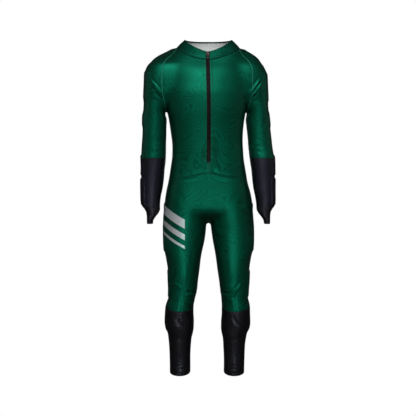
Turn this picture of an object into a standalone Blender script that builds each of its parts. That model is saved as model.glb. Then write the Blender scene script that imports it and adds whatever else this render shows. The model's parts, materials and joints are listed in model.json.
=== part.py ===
"""A ski race suit, filled out as it is worn, with every cut and sewn piece as its own hollow wall.

Metres, +Z up. The suit faces -Y and the wearer's left is +X. The origin is at the base of the
neck, between the shoulders, where the suit hangs on its wearer.
"""
import bpy
import bmesh
import math
import numpy as np
from mathutils import Matrix, Vector

WALL = 0.002                # thickness of the stretch cloth
SEAM_GAP = 0.0003           # space left between neighbouring pieces
ZIP_HALF_WIDTH = 0.009      # half of the black tape that shows between the fronts
ZIP_FOOT = 0.003            # of the short row in which the fronts close below the zip
GUIDE_REACH = 0.08          # from a piece's middle to the guide that gives a ray its direction
TABLE_STEPS = 1500          # at which a table's curves are worked out

# Columns round each half of the body, and rows along each piece
HALF_COLUMNS = 9            # from the middle to the side, of a front, a back or a leg panel
RAGLAN_ROWS = 8             # from the armpit to the neck
NECK_COLUMNS = 2            # of a sleeve where it meets the collar
SHOULDER_ROWS = 10          # of a sleeve from the raglan seam to the upper arm
UPPER_ARM_ROWS = 5
FOREARM_ROWS = 8
PELVIS_ROWS = 8             # from the waist seam to the crotch
THIGH_ROWS = 14             # from the crotch to the knee seam
SHIN_ROWS = 12
COLLAR_ROWS = 2

# Heights of the seams and hems
ARMPIT = -0.262
WAIST_FRONT = -0.514
WAIST_SIDE = -0.547
WAIST_BACK = -0.522
ZIP_BOTTOM = -0.471
UPPER_ARM = -0.330
ELBOW_SEAM = -0.455
WRIST_SEAM = -0.656
KNEE_INNER = -1.080
KNEE_OUTER = -1.068
KNEE_SAG = 0.018              # of the knee seam's middle in front
ANKLE_HEM = -1.3655
HEM_SLANT = 0.0075            # by which the hem is lower in front, and higher behind
# The hand gaiter's rows below the wrist seam, closest at the step where the padding ends
GAITER_HEIGHTS = (-0.664, -0.673, -0.690, -0.708, -0.726)
# Between these heights the side seam passes from the torso to the leg
SIDE_SEAM_CHANGE = (-0.66, -0.56)

# Body sections: height, inner side, outer side, front, back
TORSO_SECTIONS = (
    (0.012, -0.088, 0.088, 0.010, 0.068),
    (0.000, -0.139, 0.139, -0.028, 0.088),
    (-0.017, -0.157, 0.157, -0.052, 0.092),
    (-0.035, -0.168, 0.168, -0.062, 0.095),
    (-0.060, -0.180, 0.180, -0.074, 0.099),
    (-0.100, -0.190, 0.190, -0.092, 0.104),
    (-0.150, -0.186, 0.186, -0.105, 0.108),
    (-0.200, -0.178, 0.178, -0.114, 0.108),
    (-0.264, -0.163, 0.163, -0.116, 0.103),
    (-0.300, -0.156, 0.156, -0.112, 0.098),
    (-0.350, -0.150, 0.150, -0.106, 0.090),
    (-0.400, -0.147, 0.147, -0.102, 0.082),
    (-0.440, -0.148, 0.148, -0.102, 0.080),
    (-0.500, -0.156, 0.156, -0.106, 0.090),
    (-0.550, -0.164, 0.164, -0.108, 0.102),
    (-0.600, -0.172, 0.172, -0.107, 0.112),
    (-0.650, -0.176, 0.176, -0.103, 0.116),
    (-0.676, -0.160, 0.160, -0.094, 0.108),
    (-0.697, -0.125, 0.125, -0.074, 0.090),
    (-0.712, -0.080, 0.080, -0.048, 0.064),
    (-0.721, -0.045, 0.045, -0.020, 0.036),
)
ARM_SECTIONS = (
    (-0.003, 0.120, 0.156, 0.012, 0.044),
    (-0.014, 0.122, 0.175, 0.002, 0.045),
    (-0.030, 0.128, 0.201, -0.014, 0.047),
    (-0.046, 0.130, 0.219, -0.032, 0.053),
    (-0.060, 0.130, 0.228, -0.044, 0.062),
    (-0.080, 0.130, 0.242, -0.055, 0.071),
    (-0.105, 0.135, 0.252, -0.060, 0.075),
    (-0.135, 0.142, 0.255, -0.062, 0.076),
    (-0.180, 0.152, 0.258, -0.062, 0.074),
    (-0.230, 0.163, 0.260, -0.060, 0.070),
    (-0.264, 0.171, 0.263, -0.058, 0.066),
    (-0.297, 0.166, 0.266, -0.056, 0.062),
    (-0.331, 0.168, 0.267, -0.055, 0.058),
    (-0.397, 0.171, 0.272, -0.056, 0.050),
    (-0.464, 0.176, 0.278, -0.059, 0.045),
    (-0.500, 0.181, 0.278, -0.061, 0.040),
    (-0.540, 0.185, 0.279, -0.062, 0.034),
    (-0.580, 0.190, 0.279, -0.061, 0.027),
    (-0.615, 0.197, 0.279, -0.059, 0.020),
    (-0.652, 0.201, 0.276, -0.057, 0.013),
    (-0.664, 0.201, 0.267, -0.056, 0.010),
    (-0.680, 0.207, 0.259, -0.055, 0.007),
    (-0.699, 0.222, 0.257, -0.054, 0.003),
    (-0.716, 0.231, 0.257, -0.052, 0.000),
    (-0.730, 0.232, 0.257, -0.051, -0.003),
)
LEG_SECTIONS = (
    (-0.500, 0.010, 0.125, -0.075, 0.060),
    (-0.600, 0.002, 0.172, -0.102, 0.108),
    (-0.650, 0.004, 0.182, -0.102, 0.119),
    (-0.700, 0.007, 0.188, -0.098, 0.121),
    (-0.750, 0.011, 0.190, -0.094, 0.112),
    (-0.800, 0.018, 0.190, -0.093, 0.098),
    (-0.835, 0.025, 0.188, -0.092, 0.090),
    (-0.869, 0.031, 0.180, -0.091, 0.082),
    (-0.920, 0.038, 0.173, -0.087, 0.072),
    (-0.970, 0.045, 0.171, -0.081, 0.062),
    (-1.010, 0.049, 0.169, -0.077, 0.055),
    (-1.040, 0.055, 0.169, -0.074, 0.052),
    (-1.060, 0.058, 0.174, -0.073, 0.052),
    (-1.080, 0.060, 0.179, -0.072, 0.054),
    (-1.110, 0.060, 0.181, -0.070, 0.062),
    (-1.150, 0.058, 0.183, -0.066, 0.068),
    (-1.175, 0.058, 0.180, -0.062, 0.068),
    (-1.197, 0.061, 0.170, -0.058, 0.065),
    (-1.220, 0.067, 0.166, -0.055, 0.060),
    (-1.250, 0.070, 0.163, -0.052, 0.054),
    (-1.300, 0.072, 0.161, -0.048, 0.044),
    (-1.385, 0.072, 0.159, -0.045, 0.037),
)
TORSO_SQUARENESS = 2.25
LIMB_SQUARENESS = 2.1

# How softly the parts of the body flow into each other
CROTCH_BLEND = 0.022
HIP_BLEND = 0.018
ARM_BLEND_HEIGHTS = (-0.270, -0.190, -0.070, -0.030)
ARM_BLENDS = (0.010, 0.050, 0.050, 0.010)

# The suit's stance: height, sideways shift, turn about the upright in degrees
STANCE = (
    (0.040, 0.000, 0.0),
    (0.000, -0.001, 0.5),
    (-0.040, -0.006, 3.5),
    (-0.080, -0.009, 5.0),
    (-0.250, -0.008, 5.0),
    (-0.400, -0.004, 3.5),
    (-0.470, -0.002, 1.5),
    (-0.580, -0.001, 0.0),
    (-0.800, 0.001, 0.0),
    (-1.000, 0.001, 0.0),
    (-1.100, -0.003, 0.0),
    (-1.380, -0.006, 0.0),
)

# The neck seam is an oval on the form, and the collar leans in from it
NECK_HALF_WIDTH = 0.132
NECK_HALF_DEPTH = 0.080
NECK_DEPTH_CENTRE = 0.008
NECK_START = -0.150
COLLAR_TOP_HALF_WIDTH = 0.097
COLLAR_TOP_HALF_DEPTH = 0.067
COLLAR_TOP_DEPTH_CENTRE = 0.006
# Collar's top edge: degrees from the front, height
COLLAR_TOP = ((0, -0.026), (16, -0.017), (30, -0.007), (50, 0.009), (68, 0.0235), (90, 0.034), (180, 0.037))
RAGLAN_FRONT_ANGLE = 76
RAGLAN_BACK_ANGLE = 108

# Raglan seam from the armpit up: share of the way, then a place near the seam in front and behind
RAGLAN_FRONT = (
    (0.00, 0.167, 0.006, -0.262),
    (0.14, 0.171, -0.036, -0.250),
    (0.28, 0.178, -0.062, -0.222),
    (0.50, 0.186, -0.080, -0.160),
    (0.72, 0.183, -0.072, -0.096),
    (0.87, 0.164, -0.048, -0.044),
    (1.00, 0.125, -0.012, -0.008),
)
RAGLAN_BACK = (
    (0.00, 0.167, 0.006, -0.262),
    (0.14, 0.171, 0.050, -0.250),
    (0.28, 0.177, 0.078, -0.222),
    (0.50, 0.180, 0.098, -0.160),
    (0.72, 0.176, 0.092, -0.096),
    (0.87, 0.156, 0.072, -0.044),
    (1.00, 0.124, 0.033, -0.008),
)
RAGLAN_PIVOT = (0.167, 0.010, -0.140)
CROTCH_PIVOT = (0.0, 0.011, -0.620)

# Pads under the cloth: limb, top, bottom, middle and half width in degrees from the outer side
# towards the back, rise
PADS = (
    ("arm", -0.098, -0.219, 0, 62, 0.0030),
    ("arm", -0.262, -0.322, 0, 50, 0.0030),
    ("arm", -0.438, -0.527, 12, 62, 0.0040),
    ("arm", -0.534, -0.652, 8, 66, 0.0040),
    ("leg", -0.640, -0.846, 0, 40, 0.0030),
    ("leg", -0.922, -1.040, 0, 44, 0.0030),
)
PAD_EDGE = 0.010
PAD_EDGE_DEGREES = 16
ARM_START = 0.165            # the arms are further than this from the middle

# Largest folds: face (-1 front, 1 back), start x and height, end x and height, half width, depth
FOLDS = (
    (-1, -0.006, -0.385, -0.036, -0.512, 0.012, -0.0040),
    (-1, -0.016, -0.420, -0.066, -0.508, 0.012, -0.0030),
    (-1, 0.014, -0.385, 0.046, -0.520, 0.012, -0.0045),
    (-1, 0.024, -0.425, 0.080, -0.500, 0.012, -0.0030),
    (-1, -0.110, -0.536, -0.010, -0.520, 0.012, -0.0040),
    (-1, 0.110, -0.536, 0.010, -0.520, 0.012, -0.0040),
    (-1, -0.250, -0.130, -0.196, -0.205, 0.014, -0.0050),
    (-1, -0.258, -0.172, -0.200, -0.228, 0.012, -0.0040),
    (-1, 0.236, -0.125, 0.176, -0.205, 0.014, -0.0050),
    (-1, 0.240, -0.170, 0.186, -0.228, 0.012, -0.0040),
    (-1, -0.130, -1.000, -0.056, -1.030, 0.014, -0.0045),
    (-1, 0.052, -1.010, 0.110, -1.026, 0.013, -0.0050),
    (-1, 0.100, -1.018, 0.140, -0.980, 0.012, -0.0035),
    (1, -0.120, -0.450, 0.110, -0.470, 0.016, -0.0045),
    (1, -0.110, -0.500, 0.120, -0.488, 0.016, -0.0040),
    (1, -0.170, -1.012, -0.060, -1.030, 0.015, -0.0045),
    (1, 0.060, -1.030, 0.170, -1.010, 0.015, -0.0045),
    (1, -0.160, -1.052, -0.070, -1.046, 0.014, -0.0035),
    (1, 0.070, -1.046, 0.160, -1.052, 0.014, -0.0035),
    (1, -0.240, -0.150, -0.190, -0.225, 0.014, -0.0045),
    (1, 0.240, -0.150, 0.190, -0.225, 0.014, -0.0045),
    (1, -0.150, -0.790, -0.040, -0.806, 0.018, -0.0045),
    (1, 0.040, -0.806, 0.150, -0.790, 0.018, -0.0045),
)

# Zip slider and pull tab
SLIDER_WIDTH = 0.011
SLIDER_LENGTH = 0.014
SLIDER_THICKNESS = 0.004
SLIDER_HEIGHT = -0.0375
SLIDER_CLEARANCE = 0.0006    # to the tape, which curves away under it
BRIDGE_WIDTH = 0.0024
BRIDGE_LENGTH = 0.0080
BRIDGE_RISE = 0.0044
BRIDGE_BAR = 0.0014
PULL_WIDTH = 0.0068
PULL_LENGTH = 0.024
PULL_THICKNESS = 0.0016
PULL_WINDOW_WIDTH = 0.0036
PULL_WINDOW_LENGTH = 0.0058


def monotone_curve(places, values, wanted):
    """Values on a smooth curve through the given ones that never overshoots them."""
    gaps = np.diff(places)
    rises = np.diff(values) / gaps
    slopes = np.zeros(len(values))
    slopes[0] = rises[0]
    slopes[-1] = rises[-1]
    before, after = rises[:-1], rises[1:]
    same_way = before * after > 0
    both = np.where(same_way, before + after, 1.0)
    slopes[1:-1] = np.where(same_way, 2 * before * after / both, 0.0)
    span = np.clip(np.searchsorted(places, wanted, side="right") - 1, 0, len(gaps) - 1)
    share = np.clip((wanted - places[span]) / gaps[span], 0, 1)
    keep = (1 + 2 * share) * (1 - share) ** 2
    leave = share * (1 - share) ** 2
    arrive = share ** 2 * (share - 1)
    return (values[span] * keep + values[span + 1] * (1 - keep)
            + gaps[span] * (slopes[span] * leave + slopes[span + 1] * arrive))


def smooth_table(table):
    """A table's first column in small even steps, and its other columns there on smooth curves."""
    rows = np.array(sorted(table), dtype=float)
    places = np.linspace(rows[0, 0], rows[-1, 0], TABLE_STEPS)
    columns = [monotone_curve(rows[:, 0], rows[:, index], places) for index in range(1, rows.shape[1])]
    return places, columns


def look_up(smoothed, place):
    """The other columns of a smoothed table at a place in its first column."""
    places, columns = smoothed
    return [np.interp(place, places, column) for column in columns]


TORSO = smooth_table(TORSO_SECTIONS)
ARM = smooth_table(ARM_SECTIONS)
LEG = smooth_table(LEG_SECTIONS)
STANCE_CURVES = smooth_table(STANCE)
COLLAR_TOP_CURVE = smooth_table(COLLAR_TOP)


def section_distance(points, sections, squareness, side):
    """About how far points lie outside one part of the body, negative inside it."""
    inner, outer, front, back = look_up(sections, points[..., 2])
    half_width = (outer - inner) / 2
    half_depth = (back - front) / 2
    across = np.abs(side - (outer + inner) / 2) / half_width
    deep = np.abs(points[..., 1] - (back + front) / 2) / half_depth
    radius = (across ** squareness + deep ** squareness) ** (1 / squareness)
    within = (radius - 1) * np.minimum(half_width, half_depth)
    ends = np.maximum(points[..., 2] - sections[0][-1], sections[0][0] - points[..., 2])
    return np.maximum(within, ends)


def blend(first, second, softness):
    """The nearer of two distances, rounded where they are alike."""
    likeness = np.clip(softness - np.abs(first - second), 0, None) / softness
    return np.minimum(first, second) - likeness ** 2 * softness / 4


def form(points):
    """About how far points lie outside the filled-out suit, negative inside it."""
    side = np.abs(points[..., 0])
    torso = section_distance(points, TORSO, TORSO_SQUARENESS, side)
    arm = section_distance(points, ARM, LIMB_SQUARENESS, side)
    near_leg = section_distance(points, LEG, LIMB_SQUARENESS, side)
    far_leg = section_distance(points, LEG, LIMB_SQUARENESS, -side)
    trunk = blend(torso, blend(near_leg, far_leg, CROTCH_BLEND), HIP_BLEND)
    return blend(trunk, arm, np.interp(points[..., 2], ARM_BLEND_HEIGHTS, ARM_BLENDS))


def cast(inside, toward, reach=2.4, steps=96, halvings=22):
    """Where rays from points inside the form, through their guides, first leave it."""
    inside, toward = np.broadcast_arrays(inside, toward)
    ray = toward - inside
    low = np.zeros(ray.shape[:-1])
    high = np.full(ray.shape[:-1], reach)
    left = np.zeros(ray.shape[:-1], dtype=bool)
    for step in range(1, steps + 1):
        share = reach * step / steps
        outside = form(inside + ray * share) > 0
        high = np.where(outside & ~left, share, high)
        left |= outside
        low = np.where(left, low, share)
    for _ in range(halvings):
        middle = (low + high) / 2
        outside = form(inside + ray * middle[..., None]) > 0
        high = np.where(outside, middle, high)
        low = np.where(outside, low, middle)
    return inside + ray * ((low + high) / 2)[..., None]


def outward(points, step=0.0008):
    """Unit vectors straight out of the form at points on it."""
    slopes = [form(points + step * axis) - form(points - step * axis) for axis in np.eye(3)]
    slopes = np.stack(slopes, axis=-1)
    return slopes / np.linalg.norm(slopes, axis=-1, keepdims=True)


def place(x, y, z):
    """Points from coordinates that may be numbers or arrays."""
    return np.stack(np.broadcast_arrays(x, y, z), axis=-1).astype(float)


def centre_of(sections, height):
    """The middle of a body part at a height."""
    inner, outer, front, back = look_up(sections, height)
    return (inner + outer) / 2, (front + back) / 2


def rows_across(first, last, columns, sections, facing, sag=0.0):
    """Rows of points on the form from a first to a last point each, round a body part's middle.

    The sag is how far the middle of each row hangs below its ends.
    """
    share = np.linspace(0, 1, columns + 1)
    ends = []
    for end in (first, last):
        x, y = centre_of(sections, end[:, 2])
        ends.append((np.arctan2(end[:, 0] - x, facing * (end[:, 1] - y)),
                     np.hypot(end[:, 0] - x, end[:, 1] - y)))
    (first_angle, first_radius), (last_angle, last_radius) = ends
    angle = first_angle[:, None] + (last_angle - first_angle)[:, None] * share
    radius = first_radius[:, None] + (last_radius - first_radius)[:, None] * share
    height = first[:, 2][:, None] + (last[:, 2] - first[:, 2])[:, None] * share
    height = height - np.reshape(sag, (-1, 1)) * np.sin(np.pi * share)
    x, y = centre_of(sections, height)
    guide = place(x + radius * np.sin(angle), y + facing * radius * np.cos(angle), height)
    points = cast(place(x, y, height), guide)
    points[:, 0] = first
    points[:, -1] = last
    return points


def ring_angles(columns):
    """Angles round a limb, from its inner side to the front, outside and back."""
    return np.radians(-90 + 360 * np.arange(columns) / columns)


def ring(sections, height, columns):
    """Closed rings of points round a limb, at a height each or one for every point."""
    height = np.reshape(height, (len(np.atleast_1d(height)), -1))
    angle = ring_angles(columns)
    x, y = centre_of(sections, height)
    guide = place(x + GUIDE_REACH * np.sin(angle), y - GUIDE_REACH * np.cos(angle), height)
    return cast(place(x, y, height), guide)


def middle_line(heights, facing, x=0.0):
    """Points down the middle of the front or the back of the torso."""
    y = centre_of(TORSO, heights)[1]
    return cast(place(x, y, heights), place(x, y + facing * GUIDE_REACH, heights))


def side_line(heights):
    """Points down the side seam, over the torso and then the leg."""
    torso_y = centre_of(TORSO, heights)[1]
    leg_x, leg_y = centre_of(LEG, heights)
    share = np.interp(heights, SIDE_SEAM_CHANGE, (1, 0))
    x = leg_x * share
    y = torso_y + (leg_y - torso_y) * share
    return cast(place(x, y, heights), place(x + GUIDE_REACH, y, heights))


def neck_seam(degrees):
    """Points on the form where the collar is sewn on, by the angle from the front."""
    angle = np.radians(degrees)
    x = NECK_HALF_WIDTH * np.sin(angle)
    y = NECK_DEPTH_CENTRE - NECK_HALF_DEPTH * np.cos(angle)
    return cast(place(x, y, NECK_START), place(x, y, NECK_START + GUIDE_REACH))


def collar_top(degrees):
    """Points on the collar's top edge, by the angle from the front."""
    angle = np.radians(degrees)
    x = COLLAR_TOP_HALF_WIDTH * np.sin(angle)
    y = COLLAR_TOP_DEPTH_CENTRE - COLLAR_TOP_HALF_DEPTH * np.cos(angle)
    return place(x, y, look_up(COLLAR_TOP_CURVE, degrees)[0])


def neck_angles():
    """Angles round half the collar: over the front, the sleeve and the back."""
    zip_edge = math.degrees(math.asin(ZIP_HALF_WIDTH / NECK_HALF_WIDTH))
    front = np.linspace(zip_edge, RAGLAN_FRONT_ANGLE, HALF_COLUMNS + 1)
    sleeve = np.linspace(RAGLAN_FRONT_ANGLE, RAGLAN_BACK_ANGLE, NECK_COLUMNS + 1)
    back = np.linspace(RAGLAN_BACK_ANGLE, 180, HALF_COLUMNS + 1)
    return front, sleeve, back


def raglan(table, neck_angle):
    """Points up a raglan seam, from the armpit to the collar."""
    share = np.linspace(0, 1, RAGLAN_ROWS + 1)
    guide = np.stack(look_up(smooth_table(table), share), axis=-1)
    points = cast(np.array(RAGLAN_PIVOT), guide)
    points[-1] = neck_seam(np.array([neck_angle]))[0]
    return points


def waist_rows():
    """Shares of the way from the waist seam up to the armpit, with a short row at the zip's foot."""
    foot = (ZIP_BOTTOM - WAIST_FRONT) / (ARMPIT - WAIST_FRONT)
    below_foot = (ZIP_BOTTOM - ZIP_FOOT - WAIST_FRONT) / (ARMPIT - WAIST_FRONT)
    return np.concatenate([np.linspace(0, below_foot, 3), np.linspace(foot, 1, 9)])


def torso_half(facing):
    """Half of the front or back, from the waist seam up to the collar and out to the side."""
    shares = waist_rows()
    waist = WAIST_FRONT if facing < 0 else WAIST_BACK
    low_heights = waist + (ARMPIT - waist) * shares
    sides = side_line(WAIST_SIDE + (ARMPIT - WAIST_SIDE) * shares)
    neck_front, _, neck_back = neck_angles()
    if facing < 0:
        seam = raglan(RAGLAN_FRONT, RAGLAN_FRONT_ANGLE)
        top = neck_seam(neck_front)
    else:
        seam = raglan(RAGLAN_BACK, RAGLAN_BACK_ANGLE)
        top = neck_seam(neck_back)[::-1]
    high_heights = np.linspace(ARMPIT, top[0, 2], RAGLAN_ROWS + 1)[1:]
    heights = np.concatenate([low_heights, high_heights])
    beside_zip = heights > ZIP_BOTTOM - ZIP_FOOT / 2
    edge = np.where(beside_zip & (facing < 0), ZIP_HALF_WIDTH, 0.0)
    middles = middle_line(heights, facing, edge)
    outer = np.concatenate([sides[:-1], seam])
    points = rows_across(middles, outer, HALF_COLUMNS, TORSO, facing)
    points[-1] = top
    return points


def crotch_line(facing, waist_point, count):
    """Points down the middle of the pelvis, from the waist seam to under the crotch."""
    pivot = np.array(CROTCH_PIVOT)
    start = math.atan2(waist_point[2] - pivot[2], facing * (waist_point[1] - pivot[1]))
    angle = np.linspace(start, -math.pi / 2, count + 1)
    toward = pivot + GUIDE_REACH * place(0.0, facing * np.cos(angle), np.sin(angle))
    points = cast(pivot, toward)
    points[0] = waist_point
    return points


def leg_half(facing, waist_row):
    """A leg's front or back panel, from the waist seam down to the knee seam."""
    middles = crotch_line(facing, waist_row[0], PELVIS_ROWS)
    crotch = middles[-1]
    side_heights = np.linspace(WAIST_SIDE, crotch[2], PELVIS_ROWS + 1)
    inner_heights = np.linspace(crotch[2], KNEE_INNER, THIGH_ROWS + 1)[1:]
    outer_heights = np.linspace(crotch[2], KNEE_OUTER, THIGH_ROWS + 1)[1:]
    x, y = centre_of(LEG, inner_heights)
    inseam = cast(place(x, y, inner_heights), place(x - GUIDE_REACH, y, inner_heights))
    first = np.concatenate([middles, inseam])
    last = side_line(np.concatenate([side_heights, outer_heights]))
    down_thigh = np.clip(np.arange(len(first)) - PELVIS_ROWS, 0, None) / THIGH_ROWS
    sag = KNEE_SAG * down_thigh ** 2 * (facing < 0)
    points = rows_across(first, last, HALF_COLUMNS, LEG, facing, sag)
    points[0] = waist_row
    return points


def sleeve_rows():
    """Closed rings of a raglan sleeve, from the raglan seams and the neck to the elbow seam."""
    _, neck, _ = neck_angles()
    front = raglan(RAGLAN_FRONT, RAGLAN_FRONT_ANGLE)
    back = raglan(RAGLAN_BACK, RAGLAN_BACK_ANGLE)
    top = np.concatenate([front[:-1], neck_seam(neck), back[-2:0:-1]])
    columns = len(top)
    upper_arm = ring(ARM, UPPER_ARM, columns)[0]
    corner = place(upper_arm[:, 0], (top[:, 1] + upper_arm[:, 1]) / 2, top[:, 2])
    arm_x, arm_y = centre_of(ARM, UPPER_ARM)
    share = np.linspace(0, 1, SHOULDER_ROWS + 1)[:, None, None]
    guide = top * (1 - share) ** 2 + corner * 2 * share * (1 - share) + upper_arm * share ** 2
    inside = np.array(RAGLAN_PIVOT) * (1 - share) + np.array([arm_x, arm_y, UPPER_ARM]) * share
    shoulder = cast(inside, guide)
    shoulder[0] = top
    shoulder[-1] = upper_arm
    arm = ring(ARM, np.linspace(UPPER_ARM, ELBOW_SEAM, UPPER_ARM_ROWS + 1)[1:], columns)
    return np.concatenate([shoulder, arm])


def pad_rise(points):
    """How far the pads lift the cloth's outer face at points on the form."""
    height = points[..., 2]
    rise = np.zeros(height.shape)
    for limb, top, bottom, middle, half_width, thickness in PADS:
        x, y = centre_of(ARM if limb == "arm" else LEG, height)
        degrees = np.degrees(np.arctan2(points[..., 1] - y, np.abs(points[..., 0]) - x))
        along = np.minimum(top - height, height - bottom) / PAD_EDGE
        round_limb = (half_width - np.abs(degrees - middle)) / PAD_EDGE_DEGREES
        in_limb = (np.abs(points[..., 0]) > ARM_START) if limb == "arm" else (height < WAIST_SIDE)
        lift = thickness * np.clip(along, 0, 1) * np.clip(round_limb, 0, 1) * in_limb
        rise = np.maximum(rise, lift)
    return rise


def fold_depth(points, normals):
    """How far the folds push the cloth in or out at points on the form."""
    depth = np.zeros(points.shape[:-1])
    for face, x0, z0, x1, z1, half_width, amount in FOLDS:
        run = np.array([x1 - x0, z1 - z0])
        to_point = np.stack([points[..., 0] - x0, points[..., 2] - z0], axis=-1)
        share = np.clip(to_point @ run / (run @ run), 0, 1)
        away = np.linalg.norm(to_point - share[..., None] * run, axis=-1)
        fade = np.sqrt(np.sin(np.pi * np.clip(share, 0.03, 0.97)))
        facing = np.clip(2.5 * face * normals[..., 1], 0, 1)
        depth += amount * facing * fade * np.exp(-(away / half_width) ** 2)
    return depth


def stance(points):
    """Points of the upright form, shifted and turned as the suit stands."""
    shift, turn = look_up(STANCE_CURVES, points[..., 2])
    turn = np.radians(turn)
    x = points[..., 0] * np.cos(turn) - points[..., 1] * np.sin(turn) + shift
    y = points[..., 0] * np.sin(turn) + points[..., 1] * np.cos(turn)
    return place(x, y, points[..., 2])


def along(points, axis, closed):
    """Differences of a grid's points along its rows or columns."""
    if closed:
        return np.roll(points, -1, axis) - np.roll(points, 1, axis)
    return np.gradient(points, axis=axis)


def open_seams(points, closed):
    """The grid with its edges drawn in by half a seam gap."""
    result = points.copy()
    sides = [(0, 0, 1), (0, -1, -2)]
    if not closed:
        sides += [(1, 0, 1), (1, -1, -2)]
    for axis, edge, neighbour in sides:
        edge_at = (edge, slice(None)) if axis == 0 else (slice(None), edge)
        next_at = (neighbour, slice(None)) if axis == 0 else (slice(None), neighbour)
        inward = points[next_at] - points[edge_at]
        run = along(points[edge_at], 0, closed and axis == 0)
        run = run / np.linalg.norm(run, axis=-1, keepdims=True)
        inward = inward - run * np.sum(inward * run, axis=-1, keepdims=True)
        inward = inward / np.linalg.norm(inward, axis=-1, keepdims=True)
        result[edge_at] += inward * SEAM_GAP / 2
    return result


def material(name, colour, roughness, metallic=0.0):
    """A plain material with the piece's colour and finish."""
    made = bpy.data.materials.new(name)
    made.use_nodes = True
    shader = made.node_tree.nodes["Principled BSDF"]
    shader.inputs["Base Color"].default_value = (*colour, 1.0)
    shader.inputs["Roughness"].default_value = roughness
    shader.inputs["Metallic"].default_value = metallic
    return made


def rim(vertices, start, end, behind):
    """Two triangles across the wall's edge, split the same way on both sides of a seam."""
    one_way = np.linalg.norm(vertices[start] - vertices[behind + end])
    other_way = np.linalg.norm(vertices[end] - vertices[behind + start])
    if one_way < other_way:
        return [[start, end, behind + end], [start, behind + end, behind + start]]
    return [[start, end, behind + start], [end, behind + end, behind + start]]


def wall(name, outer, inner, closed, colour):
    """One closed solid between a grid of outer points and the grid of inner points behind it."""
    rows, columns = outer.shape[:2]
    count = rows * columns
    vertices = np.concatenate([outer.reshape(-1, 3), inner.reshape(-1, 3)])
    last_column = columns if closed else columns - 1
    faces = []
    for row in range(rows - 1):
        for column in range(last_column):
            beside = (column + 1) % columns
            corners = [row * columns + column, row * columns + beside,
                       (row + 1) * columns + beside, (row + 1) * columns + column]
            faces.append(corners)
            faces.append([count + corner for corner in reversed(corners)])
    for column in range(last_column):
        beside = (column + 1) % columns
        for row, (first, second) in ((0, (beside, column)), (rows - 1, (column, beside))):
            faces += rim(vertices, row * columns + first, row * columns + second, count)
    if not closed:
        for row in range(rows - 1):
            for column, (first, second) in ((0, (row, row + 1)), (columns - 1, (row + 1, row))):
                faces += rim(vertices, first * columns + column, second * columns + column, count)
    mesh = bpy.data.meshes.new(name)
    mesh.from_pydata(vertices.tolist(), [], faces)
    body = bmesh.new()
    body.from_mesh(mesh)
    bmesh.ops.recalc_face_normals(body, faces=body.faces)
    body.to_mesh(mesh)
    body.free()
    mesh.materials.append(colour)
    mesh.shade_smooth()
    piece = bpy.data.objects.new(name, mesh)
    bpy.context.scene.collection.objects.link(piece)
    return piece


def cloth(name, points, colour, closed=False, armpits=()):
    """A cut piece on the form: its wall, with folds through it and pads raised on its outside.

    The form faces straight down at an armpit, so the wall there leans halfway to the point beside it.
    """
    normals = outward(points)
    for corner, beside in armpits:
        halfway = normals[corner] + normals[beside]
        normals[corner] = halfway / np.linalg.norm(halfway)
    points = open_seams(points, closed)
    folded = points + normals * fold_depth(points, normals)[..., None]
    outer = folded + normals * pad_rise(points)[..., None]
    inner = folded - normals * WALL
    return wall(name, stance(outer), stance(inner), closed, colour)


def mirrored(points):
    """The grid's other-hand twin."""
    return points * np.array([-1.0, 1.0, 1.0])


def whole(half):
    """A full-width grid from the half on the wearer's left, whose first column is the middle."""
    return np.concatenate([mirrored(half)[:, :0:-1], half], axis=1)


def make_torso(green):
    """Two fronts either side of the zip, and the back."""
    front = torso_half(-1)
    row = len(waist_rows()) - 1
    one_side = ((row, -1), (row - 1, -1))
    other_side = ((row, 0), (row - 1, 0))
    cloth("front_left", front, green, armpits=[one_side])
    cloth("front_right", mirrored(front), green, armpits=[one_side])
    cloth("back", whole(torso_half(1)), green, armpits=[one_side, other_side])


def make_legs(green, black):
    """Front and back panels of both legs, and the black tubes below the knee."""
    front = leg_half(-1, torso_half(-1)[0])
    back = leg_half(1, torso_half(1)[0])
    knee = np.concatenate([front[-1], back[-1][-2:0:-1]])
    share = np.linspace(0, 1, SHIN_ROWS + 1)[:, None]
    hem = ANKLE_HEM - HEM_SLANT * np.cos(ring_angles(len(knee)))
    shin = ring(LEG, knee[:, 2] * (1 - share) + hem * share, len(knee))
    shin[0] = knee
    for side, turn_over in (("left", np.array), ("right", mirrored)):
        cloth("leg_front_" + side, turn_over(front), green)
        cloth("leg_back_" + side, turn_over(back), green)
        cloth("shin_" + side, turn_over(shin), black, closed=True)


def make_sleeves(green, black):
    """Raglan sleeves, black forearms and the gaiters that taper over the hands."""
    sleeve = sleeve_rows()
    columns = sleeve.shape[1]
    forearm = ring(ARM, np.linspace(ELBOW_SEAM, WRIST_SEAM, FOREARM_ROWS + 1), columns)
    gaiter = ring(ARM, np.array((WRIST_SEAM,) + GAITER_HEIGHTS), columns)
    for side, turn_over in (("left", np.array), ("right", mirrored)):
        cloth("sleeve_" + side, turn_over(sleeve), green, closed=True, armpits=[((0, 0), (1, 0))])
        cloth("forearm_" + side, turn_over(forearm), black, closed=True)
        cloth("hand_gaiter_" + side, turn_over(gaiter), black, closed=True)


def collar_rows(degrees, edge=None):
    """Rows of the collar band, from the neck seam to its top edge."""
    base = neck_seam(degrees)
    top = collar_top(degrees)
    if edge is not None:
        top_degrees = math.degrees(math.asin(edge / COLLAR_TOP_HALF_WIDTH))
        top[0] = collar_top(np.array([top_degrees]))[0]
    share = np.linspace(0, 1, COLLAR_ROWS + 1)[:, None, None]
    return base * (1 - share) + top * share


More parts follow.
